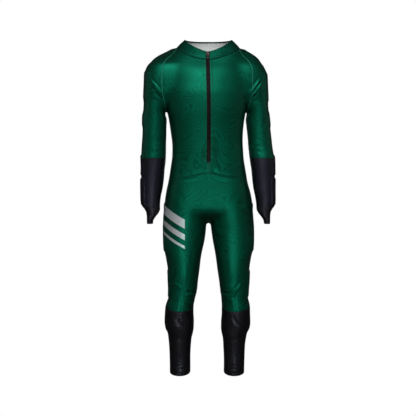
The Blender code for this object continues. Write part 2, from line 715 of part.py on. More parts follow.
def collar_normals(points):
    """Unit vectors straight out of the collar band."""
    normals = np.cross(along(points, 1, False), along(points, 0, False))
    normals /= np.linalg.norm(normals, axis=-1, keepdims=True)
    middle = np.array([0.0, NECK_DEPTH_CENTRE, 0.0])
    outward_side = np.sum(normals * (points - middle) * np.array([1, 1, 0]), axis=-1, keepdims=True)
    return normals * np.sign(outward_side)


def make_collar(dark_green):
    """A band round the neck that leans in, open where the zip runs up."""
    degrees = np.concatenate([angles[:-1] for angles in neck_angles()] + [[180.0]])
    half = collar_rows(degrees, ZIP_HALF_WIDTH)
    points = np.concatenate([half, mirrored(half)[:, -2::-1]], axis=1)
    normals = collar_normals(points)
    normals[0] = outward(points[0])
    outer = open_seams(points, False)
    wall("collar", stance(outer), stance(outer - normals * WALL), False, dark_green)


def make_zip_tapes(black):
    """The two halves of the zip, flush between the fronts and the collar's ends."""
    front = torso_half(-1)
    heights = front[:, 0, 2]
    edge = front[heights > ZIP_BOTTOM - ZIP_FOOT / 2, 0]
    middle = middle_line(edge[:, 2], -1)
    below = np.stack([middle, edge], axis=1)
    normals = outward(below)
    neck_edge = math.degrees(math.asin(ZIP_HALF_WIDTH / NECK_HALF_WIDTH))
    band = collar_rows(np.array([neck_edge, 0.0]), ZIP_HALF_WIDTH)[:, ::-1]
    band_normals = collar_normals(band)
    below[-1, 0] = band[0, 0]
    points = np.concatenate([below, band[1:]])
    normals = np.concatenate([normals, band_normals[1:]])
    for side, turn_over in (("left", np.array), ("right", mirrored)):
        outer = open_seams(turn_over(points), False)
        inner = outer - turn_over(normals) * WALL
        wall("zip_tape_" + side, stance(outer), stance(inner), False, black)


def box(name, size, middle, colour, bevel=0.0):
    """A box with slightly rounded edges."""
    mesh = bpy.data.meshes.new(name)
    body = bmesh.new()
    bmesh.ops.create_cube(body, size=1.0, matrix=Matrix.Translation(middle) @ Matrix.Diagonal((*size, 1.0)))
    if bevel:
        bmesh.ops.bevel(body, geom=body.edges[:], offset=bevel, segments=2, affect="EDGES")
    body.to_mesh(mesh)
    body.free()
    mesh.materials.append(colour)
    piece = bpy.data.objects.new(name, mesh)
    bpy.context.scene.collection.objects.link(piece)
    return piece


def carve(piece, other, operation):
    """Join another shape to a piece or cut it away, and drop the other shape."""
    step = piece.modifiers.new(operation, "BOOLEAN")
    step.operation = operation
    step.object = other
    bpy.context.view_layer.update()
    shaped = bpy.data.meshes.new_from_object(piece.evaluated_get(bpy.context.evaluated_depsgraph_get()))
    piece.modifiers.remove(step)
    piece.data = shaped
    bpy.data.objects.remove(other)


def zip_place():
    """Where the slider rides on the collar's front, and how far the collar leans back there."""
    band = stance(collar_rows(np.array([0.0])))[:, 0]
    base, top = band[0], band[-1]
    share = (SLIDER_HEIGHT - base[2]) / (top[2] - base[2])
    lean = math.atan2(top[1] - base[1], top[2] - base[2])
    return Vector(base + (top - base) * share), lean


def make_slider(black, metal):
    """The slider, seated on the tapes, with a bridge that holds the pull tab's top bar."""
    seat, lean = zip_place()
    frame = Matrix.Translation(seat) @ Matrix.Rotation(-lean, 4, "X")
    face = -SLIDER_CLEARANCE - SLIDER_THICKNESS
    slider = box("zip_slider", (SLIDER_WIDTH, SLIDER_THICKNESS, SLIDER_LENGTH),
                 (0, -SLIDER_CLEARANCE - SLIDER_THICKNESS / 2, 0), metal, 0.0006)
    bridge = box("bridge", (BRIDGE_WIDTH, BRIDGE_RISE + 0.001, BRIDGE_LENGTH),
                 (0, face - (BRIDGE_RISE - 0.001) / 2, 0), metal)
    tunnel = box("tunnel", (2 * BRIDGE_WIDTH, BRIDGE_RISE - BRIDGE_BAR, BRIDGE_LENGTH - 2 * BRIDGE_BAR),
                 (0, face - (BRIDGE_RISE - BRIDGE_BAR) / 2, 0), metal)
    carve(bridge, tunnel, "DIFFERENCE")
    carve(slider, bridge, "UNION")
    slider.matrix_world = frame
    hinge = frame @ Vector((0, face - (BRIDGE_RISE - BRIDGE_BAR) / 2, 0))
    bar = PULL_THICKNESS
    pull = box("zip_pull", (PULL_WIDTH, PULL_THICKNESS, PULL_LENGTH),
               (0, 0, bar / 2 - PULL_LENGTH / 2), black, 0.0003)
    window = box("window", (PULL_WINDOW_WIDTH, 3 * PULL_THICKNESS, PULL_WINDOW_LENGTH),
                 (0, 0, -bar / 2 - PULL_WINDOW_LENGTH / 2), black)
    carve(pull, window, "DIFFERENCE")
    pull.matrix_world = Matrix.Translation(hinge) @ Matrix.Rotation(-lean, 4, "X")


def build():
    """The whole suit, from an empty scene."""
    for thing in list(bpy.data.objects):
        bpy.data.objects.remove(thing)
    green = material("green stretch cloth", (0.010, 0.095, 0.050), 0.45)
    dark_green = material("dark green stretch cloth", (0.006, 0.055, 0.032), 0.50)
    black = material("black stretch cloth", (0.010, 0.010, 0.014), 0.40)
    tape = material("black zip tape", (0.012, 0.009, 0.010), 0.70)
    metal = material("blackened slider metal", (0.040, 0.030, 0.028), 0.35, 0.9)
    tab = material("grey moulded tab", (0.080, 0.080, 0.085), 0.50)
    make_torso(green)
    make_legs(green, black)
    make_sleeves(green, black)
    make_collar(dark_green)
    make_zip_tapes(tape)
    make_slider(tab, metal)


build()
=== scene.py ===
"""A ski race suit, filled out as it is worn: green printed stretch cloth with black forearms and shins."""
import functools
import json
import math

import bpy
import bmesh
import numpy as np
from mathutils import Matrix, Vector

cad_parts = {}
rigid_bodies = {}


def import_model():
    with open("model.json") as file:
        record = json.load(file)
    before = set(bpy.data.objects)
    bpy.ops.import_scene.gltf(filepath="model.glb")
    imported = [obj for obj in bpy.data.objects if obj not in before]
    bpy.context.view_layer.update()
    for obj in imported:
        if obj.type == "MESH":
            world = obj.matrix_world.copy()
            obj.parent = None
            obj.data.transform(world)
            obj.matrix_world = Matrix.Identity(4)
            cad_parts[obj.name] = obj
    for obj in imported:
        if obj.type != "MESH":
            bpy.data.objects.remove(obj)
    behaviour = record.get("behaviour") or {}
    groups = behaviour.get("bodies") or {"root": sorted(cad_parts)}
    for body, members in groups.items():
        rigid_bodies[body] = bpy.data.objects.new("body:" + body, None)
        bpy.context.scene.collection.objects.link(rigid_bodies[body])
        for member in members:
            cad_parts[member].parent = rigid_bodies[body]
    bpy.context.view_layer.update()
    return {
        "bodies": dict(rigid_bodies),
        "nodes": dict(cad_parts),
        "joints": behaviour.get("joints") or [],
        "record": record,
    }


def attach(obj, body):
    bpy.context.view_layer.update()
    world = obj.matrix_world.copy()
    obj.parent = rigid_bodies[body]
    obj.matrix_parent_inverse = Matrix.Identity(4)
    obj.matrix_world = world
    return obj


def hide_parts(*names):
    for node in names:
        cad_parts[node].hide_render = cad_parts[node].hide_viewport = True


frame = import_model()


# FRONTS
# Two front panels of green printed polyester and elastane knit, one each side of the zip, from
# the waist seam up to the collar. The suit is cut smaller than its wearer and takes their shape,
# so the panels are pulled over the body's sections, in metres, and crease only where they bend.

# Height, half width, front, back
TORSO_SECTIONS = (
    (0.012, 0.088, 0.010, 0.068),
    (0.000, 0.139, -0.028, 0.088),
    (-0.017, 0.157, -0.052, 0.092),
    (-0.035, 0.168, -0.062, 0.095),
    (-0.060, 0.180, -0.074, 0.099),
    (-0.100, 0.190, -0.092, 0.104),
    (-0.150, 0.186, -0.105, 0.108),
    (-0.200, 0.178, -0.114, 0.108),
    (-0.264, 0.163, -0.116, 0.103),
    (-0.300, 0.156, -0.112, 0.098),
    (-0.350, 0.150, -0.106, 0.090),
    (-0.400, 0.147, -0.102, 0.082),
    (-0.440, 0.148, -0.102, 0.080),
    (-0.500, 0.156, -0.106, 0.090),
    (-0.550, 0.164, -0.108, 0.102),
    (-0.600, 0.172, -0.107, 0.112),
    (-0.650, 0.176, -0.103, 0.116),
    (-0.676, 0.160, -0.094, 0.108),
    (-0.697, 0.125, -0.074, 0.090),
    (-0.712, 0.080, -0.048, 0.064),
    (-0.721, 0.045, -0.020, 0.036),
)
# Height, inner side, outer side, front, back
ARM_SECTIONS = (
    (-0.003, 0.120, 0.156, 0.012, 0.044),
    (-0.014, 0.122, 0.175, 0.002, 0.045),
    (-0.030, 0.128, 0.201, -0.014, 0.047),
    (-0.046, 0.130, 0.219, -0.032, 0.053),
    (-0.060, 0.130, 0.228, -0.044, 0.062),
    (-0.080, 0.130, 0.242, -0.055, 0.071),
    (-0.105, 0.135, 0.252, -0.060, 0.075),
    (-0.135, 0.142, 0.255, -0.062, 0.076),
    (-0.180, 0.152, 0.258, -0.062, 0.074),
    (-0.230, 0.163, 0.260, -0.060, 0.070),
    (-0.264, 0.171, 0.263, -0.058, 0.066),
    (-0.297, 0.166, 0.266, -0.056, 0.062),
    (-0.331, 0.168, 0.267, -0.055, 0.058),
    (-0.397, 0.171, 0.272, -0.056, 0.050),
    (-0.464, 0.176, 0.278, -0.059, 0.045),
    (-0.500, 0.181, 0.278, -0.061, 0.040),
    (-0.540, 0.185, 0.279, -0.062, 0.034),
    (-0.580, 0.190, 0.279, -0.061, 0.027),
    (-0.615, 0.197, 0.279, -0.059, 0.020),
    (-0.652, 0.201, 0.276, -0.057, 0.013),
    (-0.664, 0.201, 0.267, -0.056, 0.010),
    (-0.680, 0.207, 0.259, -0.055, 0.007),
    (-0.699, 0.222, 0.257, -0.054, 0.003),
    (-0.716, 0.231, 0.257, -0.052, 0.000),
    (-0.730, 0.232, 0.257, -0.051, -0.003),
)
LEG_SECTIONS = (
    (-0.500, 0.010, 0.125, -0.075, 0.060),
    (-0.600, 0.002, 0.172, -0.102, 0.108),
    (-0.650, 0.004, 0.182, -0.102, 0.119),
    (-0.700, 0.007, 0.188, -0.098, 0.121),
    (-0.750, 0.011, 0.190, -0.094, 0.112),
    (-0.800, 0.018, 0.190, -0.093, 0.098),
    (-0.835, 0.025, 0.188, -0.092, 0.090),
    (-0.869, 0.031, 0.180, -0.091, 0.082),
    (-0.920, 0.038, 0.173, -0.087, 0.072),
    (-0.970, 0.045, 0.171, -0.081, 0.062),
    (-1.010, 0.049, 0.169, -0.077, 0.055),
    (-1.040, 0.055, 0.169, -0.074, 0.052),
    (-1.060, 0.058, 0.174, -0.073, 0.052),
    (-1.080, 0.060, 0.179, -0.072, 0.054),
    (-1.110, 0.060, 0.181, -0.070, 0.062),
    (-1.150, 0.058, 0.183, -0.066, 0.068),
    (-1.175, 0.058, 0.180, -0.062, 0.068),
    (-1.197, 0.061, 0.170, -0.058, 0.065),
    (-1.220, 0.067, 0.166, -0.055, 0.060),
    (-1.250, 0.070, 0.163, -0.052, 0.054),
    (-1.300, 0.072, 0.161, -0.048, 0.044),
    (-1.385, 0.072, 0.159, -0.045, 0.037),
)
TORSO_SQUARENESS = 2.25
LIMB_SQUARENESS = 2.1
CROTCH_BLEND = 0.022
HIP_BLEND = 0.018
ARM_BLEND_HEIGHTS = (-0.270, -0.190, -0.070, -0.030)
ARM_BLENDS = (0.010, 0.050, 0.050, 0.010)
# Height, sideways shift, turn about the upright in degrees
STANCE = (
    (0.040, 0.000, 0.0),
    (0.000, -0.001, 0.5),
    (-0.040, -0.006, 3.5),
    (-0.080, -0.009, 5.0),
    (-0.250, -0.008, 5.0),
    (-0.400, -0.004, 3.5),
    (-0.470, -0.002, 1.5),
    (-0.580, -0.001, 0.0),
    (-0.800, 0.001, 0.0),
    (-1.000, 0.001, 0.0),
    (-1.100, -0.003, 0.0),
    (-1.380, -0.006, 0.0),
)
TABLE_STEPS = 1500


def monotone_curve(places, values, wanted):
    """Values on a smooth curve through the given ones that never overshoots them."""
    gaps = np.diff(places)
    rises = np.diff(values) / gaps
    slopes = np.zeros(len(values))
    slopes[0] = rises[0]
    slopes[-1] = rises[-1]
    before, after = rises[:-1], rises[1:]
    same_way = before * after > 0
    both = np.where(same_way, before + after, 1.0)
    slopes[1:-1] = np.where(same_way, 2 * before * after / both, 0.0)
    span = np.clip(np.searchsorted(places, wanted, side="right") - 1, 0, len(gaps) - 1)
    share = np.clip((wanted - places[span]) / gaps[span], 0, 1)
    keep = (1 + 2 * share) * (1 - share) ** 2
    leave = share * (1 - share) ** 2
    arrive = share ** 2 * (share - 1)
    return (values[span] * keep + values[span + 1] * (1 - keep)
            + gaps[span] * (slopes[span] * leave + slopes[span + 1] * arrive))


def smooth_table(table):
    """A table's first column in small even steps, and its other columns there on smooth curves."""
    rows = np.array(sorted(table), dtype=float)
    places = np.linspace(rows[0, 0], rows[-1, 0], TABLE_STEPS)
    columns = [monotone_curve(rows[:, 0], rows[:, index], places) for index in range(1, rows.shape[1])]
    return places, columns


def look_up(smoothed, place):
    """The other columns of a smoothed table at a place in its first column."""
    places, columns = smoothed
    return [np.interp(place, places, column) for column in columns]


TORSO = smooth_table([(height, -half, half, *depths) for height, half, *depths in TORSO_SECTIONS])
ARM = smooth_table(ARM_SECTIONS)
LEG = smooth_table(LEG_SECTIONS)
LIMBS = {"torso": TORSO, "arm": ARM, "leg": LEG}
STANCE_CURVES = smooth_table(STANCE)


def section_distance(points, sections, squareness, side):
    """About how far points lie outside one part of the body, negative inside it."""
    inner, outer, front, back = look_up(sections, points[..., 2])
    half_width = (outer - inner) / 2
    half_depth = (back - front) / 2
    across = np.abs(side - (outer + inner) / 2) / half_width
    deep = np.abs(points[..., 1] - (back + front) / 2) / half_depth
    radius = (across ** squareness + deep ** squareness) ** (1 / squareness)
    within = (radius - 1) * np.minimum(half_width, half_depth)
    ends = np.maximum(points[..., 2] - sections[0][-1], sections[0][0] - points[..., 2])
    return np.maximum(within, ends)


def blend(first, second, softness):
    """The nearer of two distances, rounded where they are alike."""
    likeness = np.clip(softness - np.abs(first - second), 0, None) / softness
    return np.minimum(first, second) - likeness ** 2 * softness / 4


def form(points):
    """About how far points lie outside the filled-out suit, negative inside it."""
    side = np.abs(points[..., 0])
    torso = section_distance(points, TORSO, TORSO_SQUARENESS, side)
    arm = section_distance(points, ARM, LIMB_SQUARENESS, side)
    near_leg = section_distance(points, LEG, LIMB_SQUARENESS, side)
    far_leg = section_distance(points, LEG, LIMB_SQUARENESS, -side)
    trunk = blend(torso, blend(near_leg, far_leg, CROTCH_BLEND), HIP_BLEND)
    return blend(trunk, arm, np.interp(points[..., 2], ARM_BLEND_HEIGHTS, ARM_BLENDS))


CAST_REACH = 2.4            # in lengths from a ray's start to its guide
CAST_STEPS = 64
CAST_HALVINGS = 12
SLOPE_STEP = 0.0008


def cast(inside, toward):
    """Where rays from points inside the form, through their guides, first leave it."""
    inside, toward = np.broadcast_arrays(inside, toward)
    start = inside.reshape(-1, 3)
    ray = (toward - inside).reshape(-1, 3)
    low = np.zeros(len(ray))
    high = np.full(len(ray), CAST_REACH)
    within = np.arange(len(ray))
    for step in range(1, CAST_STEPS + 1):
        share = CAST_REACH * step / CAST_STEPS
        outside = form(start[within] + ray[within] * share) > 0
        high[within[outside]] = share
        within = within[~outside]
        low[within] = share
    for _ in range(CAST_HALVINGS):
        middle = (low + high) / 2
        outside = form(start + ray * middle[:, None]) > 0
        high = np.where(outside, middle, high)
        low = np.where(outside, low, middle)
    return (start + ray * ((low + high) / 2)[:, None]).reshape(inside.shape)


def unit(vectors):
    """Vectors brought to a length of one."""
    return vectors / np.linalg.norm(vectors, axis=-1, keepdims=True)


def outward(points):
    """Unit vectors straight out of the form at points on it."""
    steps = SLOPE_STEP * np.eye(3)
    return unit(np.stack([form(points + step) - form(points - step) for step in steps], axis=-1))


def place(x, y, z):
    """Points whose coordinates may be numbers or arrays."""
    return np.stack(np.broadcast_arrays(x, y, z), axis=-1).astype(float)


def centre_of(sections, height):
    """The middle of a body part at a height."""
    inner, outer, front, back = look_up(sections, height)
    return (inner + outer) / 2, (front + back) / 2


def turned(vectors, turn):
    """Vectors turned about the upright."""
    x = vectors[..., 0] * np.cos(turn) - vectors[..., 1] * np.sin(turn)
    y = vectors[..., 0] * np.sin(turn) + vectors[..., 1] * np.cos(turn)
    return place(x, y, vectors[..., 2])


def stance(points):
    """Points of the upright form, shifted and turned as the suit stands."""
    shift, turn = look_up(STANCE_CURVES, points[..., 2])
    return turned(points, np.radians(turn)) + place(shift, 0.0, 0.0)


def around(sections, angle, heights):
    """Points on the form round a body part's middle, at angles from straight ahead."""
    x, y = centre_of(sections, heights)
    guide = place(x + GUIDE_REACH * np.sin(angle), y - GUIDE_REACH * np.cos(angle), heights)
    return cast(place(x, y, heights), guide)


def mirrored(points):
    """Points or vectors of the wearer's left, as they are on the right."""
    return points * np.array([-1.0, 1.0, 1.0])


HANDS = (("left", np.array), ("right", mirrored))


# Limb, side (1 left, -1 right, 0 both), then degrees from the front and height at the crease's
# start, middle and end, half width, rise
FRONT_CREASES = (
    # the fan on the wearer's right of the zip, and the one on the left
    ("torso", -1, 7, -0.392, 14, -0.425, 21, -0.456, 0.0034, -0.0022),
    ("torso", -1, 7, -0.408, 13, -0.440, 21, -0.478, 0.0036, 0.0010),
    ("torso", -1, 6, -0.422, 12, -0.456, 20, -0.498, 0.0040, -0.0018),
    ("torso", -1, 6, -0.437, 11, -0.471, 18, -0.508, 0.0040, 0.0008),
    ("torso", -1, 6, -0.452, 10, -0.485, 15, -0.519, 0.0040, -0.0014),
    ("torso", -1, 5, -0.482, 7, -0.499, 10, -0.517, 0.0040, -0.0006),
    ("torso", 1, 12, -0.374, 21, -0.407, 31, -0.440, 0.0038, -0.0032),
    ("torso", 1, 7, -0.380, 18, -0.413, 28, -0.449, 0.0044, 0.0042),
    ("torso", 1, 8, -0.403, 16, -0.436, 23, -0.464, 0.0038, -0.0032),
    ("torso", 1, 8, -0.436, 18, -0.469, 25, -0.508, 0.0044, 0.0044),
    ("torso", 1, 8, -0.460, 13, -0.493, 18, -0.520, 0.0040, -0.0034),
    # the shelf above the waist seam
    ("torso", 1, 6, -0.512, 26, -0.532, 58, -0.540, 0.0060, -0.0054),
    ("torso", 1, 10, -0.498, 26, -0.517, 56, -0.525, 0.0070, 0.0027),
    ("torso", -1, 6, -0.512, 22, -0.531, 55, -0.542, 0.0055, -0.0045),
    ("torso", -1, 12, -0.500, 24, -0.517, 52, -0.528, 0.0065, 0.0021),
    # below the waist, and the hips
    ("torso", 0, 12, -0.585, 22, -0.640, 30, -0.700, 0.0120, -0.0012),
    ("torso", 1, 62, -0.560, 50, -0.600, 38, -0.640, 0.0090, -0.0010),
    ("torso", -1, 60, -0.565, 46, -0.615, 36, -0.665, 0.0090, -0.0012),
    # the fronts of the armpits
    ("arm", -1, 38, -0.129, 8, -0.162, -15, -0.193, 0.0044, 0.0032),
    ("arm", -1, 22, -0.153, 0, -0.178, -18, -0.202, 0.0042, 0.0028),
    ("arm", -1, 28, -0.143, 4, -0.170, -16, -0.197, 0.0032, -0.0028),
    ("arm", -1, 10, -0.186, -8, -0.204, -22, -0.216, 0.0036, -0.0018),
    ("arm", 1, 18, -0.128, -7, -0.165, -26, -0.197, 0.0046, 0.0034),
    ("arm", 1, 24, -0.146, -2, -0.178, -24, -0.206, 0.0042, 0.0026),
    ("arm", 1, 20, -0.138, -5, -0.171, -25, -0.201, 0.0032, -0.0028),
    ("arm", 1, -10, -0.206, -20, -0.211, -32, -0.213, 0.0026, -0.0018),
    ("arm", 1, -8, -0.219, -19, -0.224, -32, -0.224, 0.0026, -0.0016),
)
CREASE_STEPS = 8
CREASE_FADE = 0.7
CREASE_END = 0.02           # share of a crease at each end over which it fades no further
CREASE_REACH = 4            # half widths beyond which a crease is flat
# The shallow dent beside a crease: its share of the rise, its middle and width in half widths
CREASE_DENT = (0.4, 2.1, 0.8)
# Slow waves in the cloth: three numbers that set each wave's direction and spacing, its start, rise
RIPPLES = (
    (38.0, 12.0, 21.0, 0.4, 0.00045),
    (-27.0, 33.0, 34.0, 2.1, 0.00035),
    (14.0, -41.0, 57.0, 4.0, 0.00025),
    (61.0, 23.0, -43.0, 1.2, 0.00020),
)
# The doubled edge beside the zip
FACING_WIDTH = 0.0170
FACING_RISE = 0.0006
FACING_FOOT = 0.008
FACING_EDGE = 0.002
ZIP_BOTTOM = -0.471


def pad_rise(points, pads):
    """How far pads lift the cloth at points on the form."""
    height = points[..., 2]
    rise = np.zeros(height.shape)
    for limb, top, bottom, middle, half_width, thickness in pads:
        x, y = centre_of(LIMBS[limb], height)
        degrees = np.degrees(np.arctan2(points[..., 1] - y, np.abs(points[..., 0]) - x))
        along = np.clip(np.minimum(top - height, height - bottom) / PAD_EDGE, 0, 1)
        round_limb = np.clip((half_width - np.abs(degrees - middle)) / PAD_EDGE_DEGREES, 0, 1)
        in_limb = (np.abs(points[..., 0]) > ARM_START) if limb == "arm" else 1.0
        soft = (3 * along ** 2 - 2 * along ** 3) * (3 * round_limb ** 2 - 2 * round_limb ** 3)
        rise = np.maximum(rise, thickness * soft * in_limb)
    return rise


@functools.cache
def crease_path(limb, side, degrees, heights):
    """Points on the form along a crease, a curve through its three places."""
    share = np.linspace(0, 1, CREASE_STEPS + 1)
    curve = []
    for start, middle, end in (degrees, heights):
        bend = 2 * middle - (start + end) / 2
        curve.append(start * (1 - share) ** 2 + bend * 2 * share * (1 - share) + end * share ** 2)
    path = around(LIMBS[limb], np.radians(curve[0]), curve[1])
    return mirrored(path) if side < 0 else path


def crease_rise(points, creases):
    """How far creases push the cloth in or out at points on the form."""
    rise = np.zeros(points.shape[:-1])
    dent, dent_middle, dent_width = CREASE_DENT
    for limb, hand, a0, z0, a1, z1, a2, z2, half_width, amount in creases:
        for side in ((1, -1) if hand == 0 else (hand,)):
            path = crease_path(limb, side, (a0, a1, a2), (z0, z1, z2))
            reach = CREASE_REACH * half_width
            near = np.all((points > path.min(0) - reach) & (points < path.max(0) + reach), axis=-1)
            if not near.any():
                continue
            close = points[near]
            best = np.full(len(close), 1.0)
            share = np.zeros(len(close))
            for step in range(CREASE_STEPS):
                run = path[step + 1] - path[step]
                part = np.clip((close - path[step]) @ run / (run @ run), 0, 1)
                away = np.linalg.norm(close - path[step] - part[:, None] * run, axis=-1)
                nearer = away < best
                best = np.where(nearer, away, best)
                share = np.where(nearer, (step + part) / CREASE_STEPS, share)
            fade = np.sin(np.pi * np.clip(share, CREASE_END, 1 - CREASE_END)) ** CREASE_FADE
            across = best / half_width
            shape = np.exp(-across ** 2) - dent * np.exp(-((across - dent_middle) / dent_width) ** 2)
            rise[near] += amount * fade * shape
    return rise


def drape(points, normals, creases, pads=()):
    """Points on the form moved out to where the cloth lies there."""
    rise = pad_rise(points, pads) + crease_rise(points, creases)
    for x, y, z, start, amount in RIPPLES:
        rise += amount * np.sin(points @ np.array([x, y, z]) + start)
    side = np.clip((FACING_WIDTH - np.abs(points[..., 0])) / FACING_EDGE, 0, 1)
    beside_zip = side * (points[..., 2] > ZIP_BOTTOM - FACING_FOOT) * (points[..., 1] < 0)
    rise += FACING_RISE * beside_zip
    return points + normals * rise[..., None]


HALF_COLUMNS = 46
LOW_ROWS = 70               # from the waist seam to the armpit
FOOT_ROWS = 14              # of those below the foot of the zip
FOOT_GAP = 0.001            # share of the way up in which the panels part there
RAGLAN_ROWS = 58
NECK_COLUMNS = 10
FRONT_CROWDING = 1.35       # columns stand closer towards the middle of the front
ZIP_HALF_WIDTH = 0.0078
GUIDE_REACH = 0.08
ARMPIT = -0.262
WAIST_FRONT = -0.514
WAIST_SIDE = -0.547
WAIST_BACK = -0.522
SIDE_SEAM_CHANGE = (-0.66, -0.56)
NECK_HALF_WIDTH = 0.132
NECK_HALF_DEPTH = 0.080
NECK_DEPTH_CENTRE = 0.008
NECK_START = -0.150
ZIP_EDGE_ANGLE = math.degrees(math.asin(ZIP_HALF_WIDTH / NECK_HALF_WIDTH))
RAGLAN_FRONT_ANGLE = 76
RAGLAN_BACK_ANGLE = 108
# Share of the way up the seam, then a place near it
RAGLAN_FRONT = (
    (0.00, 0.167, 0.006, -0.262),
    (0.14, 0.171, -0.036, -0.250),
    (0.28, 0.178, -0.062, -0.222),
    (0.50, 0.186, -0.080, -0.160),
    (0.72, 0.183, -0.072, -0.096),
    (0.87, 0.164, -0.048, -0.044),
    (1.00, 0.125, -0.012, -0.008),
)
RAGLAN_BACK = (
    (0.00, 0.167, 0.006, -0.262),
    (0.14, 0.171, 0.050, -0.250),
    (0.28, 0.177, 0.078, -0.222),
    (0.50, 0.180, 0.098, -0.160),
    (0.72, 0.176, 0.092, -0.096),
    (0.87, 0.156, 0.072, -0.044),
    (1.00, 0.124, 0.033, -0.008),
)
RAGLAN_PIVOT = np.array((0.167, 0.010, -0.140))
CLOTH_THICKNESS = 0.0009


def polar(points, sections, facing):
    """Angle from straight ahead and distance of points from a body part's middle at their height."""
    x, y = centre_of(sections, points[..., 2])
    across, ahead = points[..., 0] - x, facing * (points[..., 1] - y)
    return np.arctan2(across, ahead), np.hypot(across, ahead)


def rows_across(first, last, spread, sections, facing, end, pivot, hold, sag=0.0):
    """Rows of points on the form from a first to a last point each, round a body part's middle.

    The end is a row that is known already, as its number, its points and how much each row takes
    after it. Rays start at the pivot instead of the middle as far as hold says. The sag is how far
    the middle of each row hangs below its ends.
    """
    shapes = []
    for start, finish in zip((*polar(first, sections, facing), first[:, 2]),
                             (*polar(last, sections, facing), last[:, 2])):
        shapes.append(start[:, None] + (finish - start)[:, None] * spread)
    row, known, weight = end
    for values, goal in zip(shapes, (*polar(known, sections, facing), known[:, 2])):
        values += weight[:, None] * (goal - values[row])
    angle, radius, height = shapes
    height = height - np.reshape(sag, (-1, 1)) * np.sin(np.pi * spread)
    x, y = centre_of(sections, height)
    inside = place(x, y, height)
    guide = place(x + radius * np.sin(angle), y + facing * radius * np.cos(angle), height)
    points = cast(inside + (pivot - inside) * hold[..., None], guide)
    points[:, 0] = first
    points[:, -1] = last
    points[row] = known
    return points


def middle_line(heights, facing, x=0.0):
    """Points down the middle of the front or the back of the torso."""
    y = centre_of(TORSO, heights)[1]
    return cast(place(x, y, heights), place(x, y + facing * GUIDE_REACH, heights))


def side_line(heights):
    """Points down the side seam, over the torso and then the leg."""
    torso_y = centre_of(TORSO, heights)[1]
    leg_x, leg_y = centre_of(LEG, heights)
    share = np.interp(heights, SIDE_SEAM_CHANGE, (1, 0))
    x = leg_x * share
    y = torso_y + (leg_y - torso_y) * share
    return cast(place(x, y, heights), place(x + GUIDE_REACH, y, heights))


def neck_seam(degrees):
    """Points on the form where the collar is sewn on, by the angle from the front."""
    angle = np.radians(degrees)
    x = NECK_HALF_WIDTH * np.sin(angle)
    y = NECK_DEPTH_CENTRE - NECK_HALF_DEPTH * np.cos(angle)
    return cast(place(x, y, NECK_START), place(x, y, NECK_START + GUIDE_REACH))


def column_spread(facing):
    """Shares of the way across a half panel at which its columns stand."""
    return np.linspace(0, 1, HALF_COLUMNS + 1) ** (FRONT_CROWDING if facing < 0 else 1.0)


def neck_angles():
    """Angles round half the collar: over the front, the sleeve and the back."""
    front = ZIP_EDGE_ANGLE + (RAGLAN_FRONT_ANGLE - ZIP_EDGE_ANGLE) * column_spread(-1)
    sleeve = np.linspace(RAGLAN_FRONT_ANGLE, RAGLAN_BACK_ANGLE, NECK_COLUMNS + 1)
    back = 180 + (RAGLAN_BACK_ANGLE - 180) * column_spread(1)[::-1]
    return front, sleeve, back


def raglan(table, neck_angle):
    """Points up a raglan seam, from the armpit to the collar."""
    share = np.linspace(0, 1, RAGLAN_ROWS + 1)
    guide = np.stack(look_up(smooth_table(table), share), axis=-1)
    points = cast(RAGLAN_PIVOT, guide)
    points[-1] = neck_seam(np.array([neck_angle]))[0]
    return points


def torso_half(facing):
    """Half of the front or back, from the waist seam up to the collar and out to the side."""
    foot = (ZIP_BOTTOM - WAIST_FRONT) / (ARMPIT - WAIST_FRONT)
    shares = np.concatenate([np.linspace(0, foot - FOOT_GAP, FOOT_ROWS + 1),
                             np.linspace(foot, 1, LOW_ROWS - FOOT_ROWS)])
    waist = WAIST_FRONT if facing < 0 else WAIST_BACK
    sides = side_line(WAIST_SIDE + (ARMPIT - WAIST_SIDE) * shares)
    neck_front, _, neck_back = neck_angles()
    if facing < 0:
        seam = raglan(RAGLAN_FRONT, RAGLAN_FRONT_ANGLE)
        top = neck_seam(neck_front)
    else:
        seam = raglan(RAGLAN_BACK, RAGLAN_BACK_ANGLE)
        top = neck_seam(neck_back)[::-1]
    high = np.linspace(ARMPIT, top[0, 2], RAGLAN_ROWS + 1)[1:]
    heights = np.concatenate([waist + (ARMPIT - waist) * shares, high])
    beside_zip = np.arange(len(heights)) > FOOT_ROWS
    middles = middle_line(heights, facing, np.where(beside_zip & (facing < 0), ZIP_HALF_WIDTH, 0.0))
    outer = np.concatenate([sides[:-1], seam])
    climb = np.clip((np.arange(len(heights)) - LOW_ROWS) / RAGLAN_ROWS, 0, 1)
    above_armpit = (np.arange(len(heights)) >= LOW_ROWS)[:, None]
    spread = column_spread(facing)
    return rows_across(middles, outer, spread, TORSO, facing, (-1, top, climb),
                       RAGLAN_PIVOT, above_armpit * spread ** 4)


def put_in_scene(name, data):
    """An object in the scene for a mesh, a lamp or a camera."""
    made = bpy.data.objects.new(name, data)
    bpy.context.scene.collection.objects.link(made)
    return made


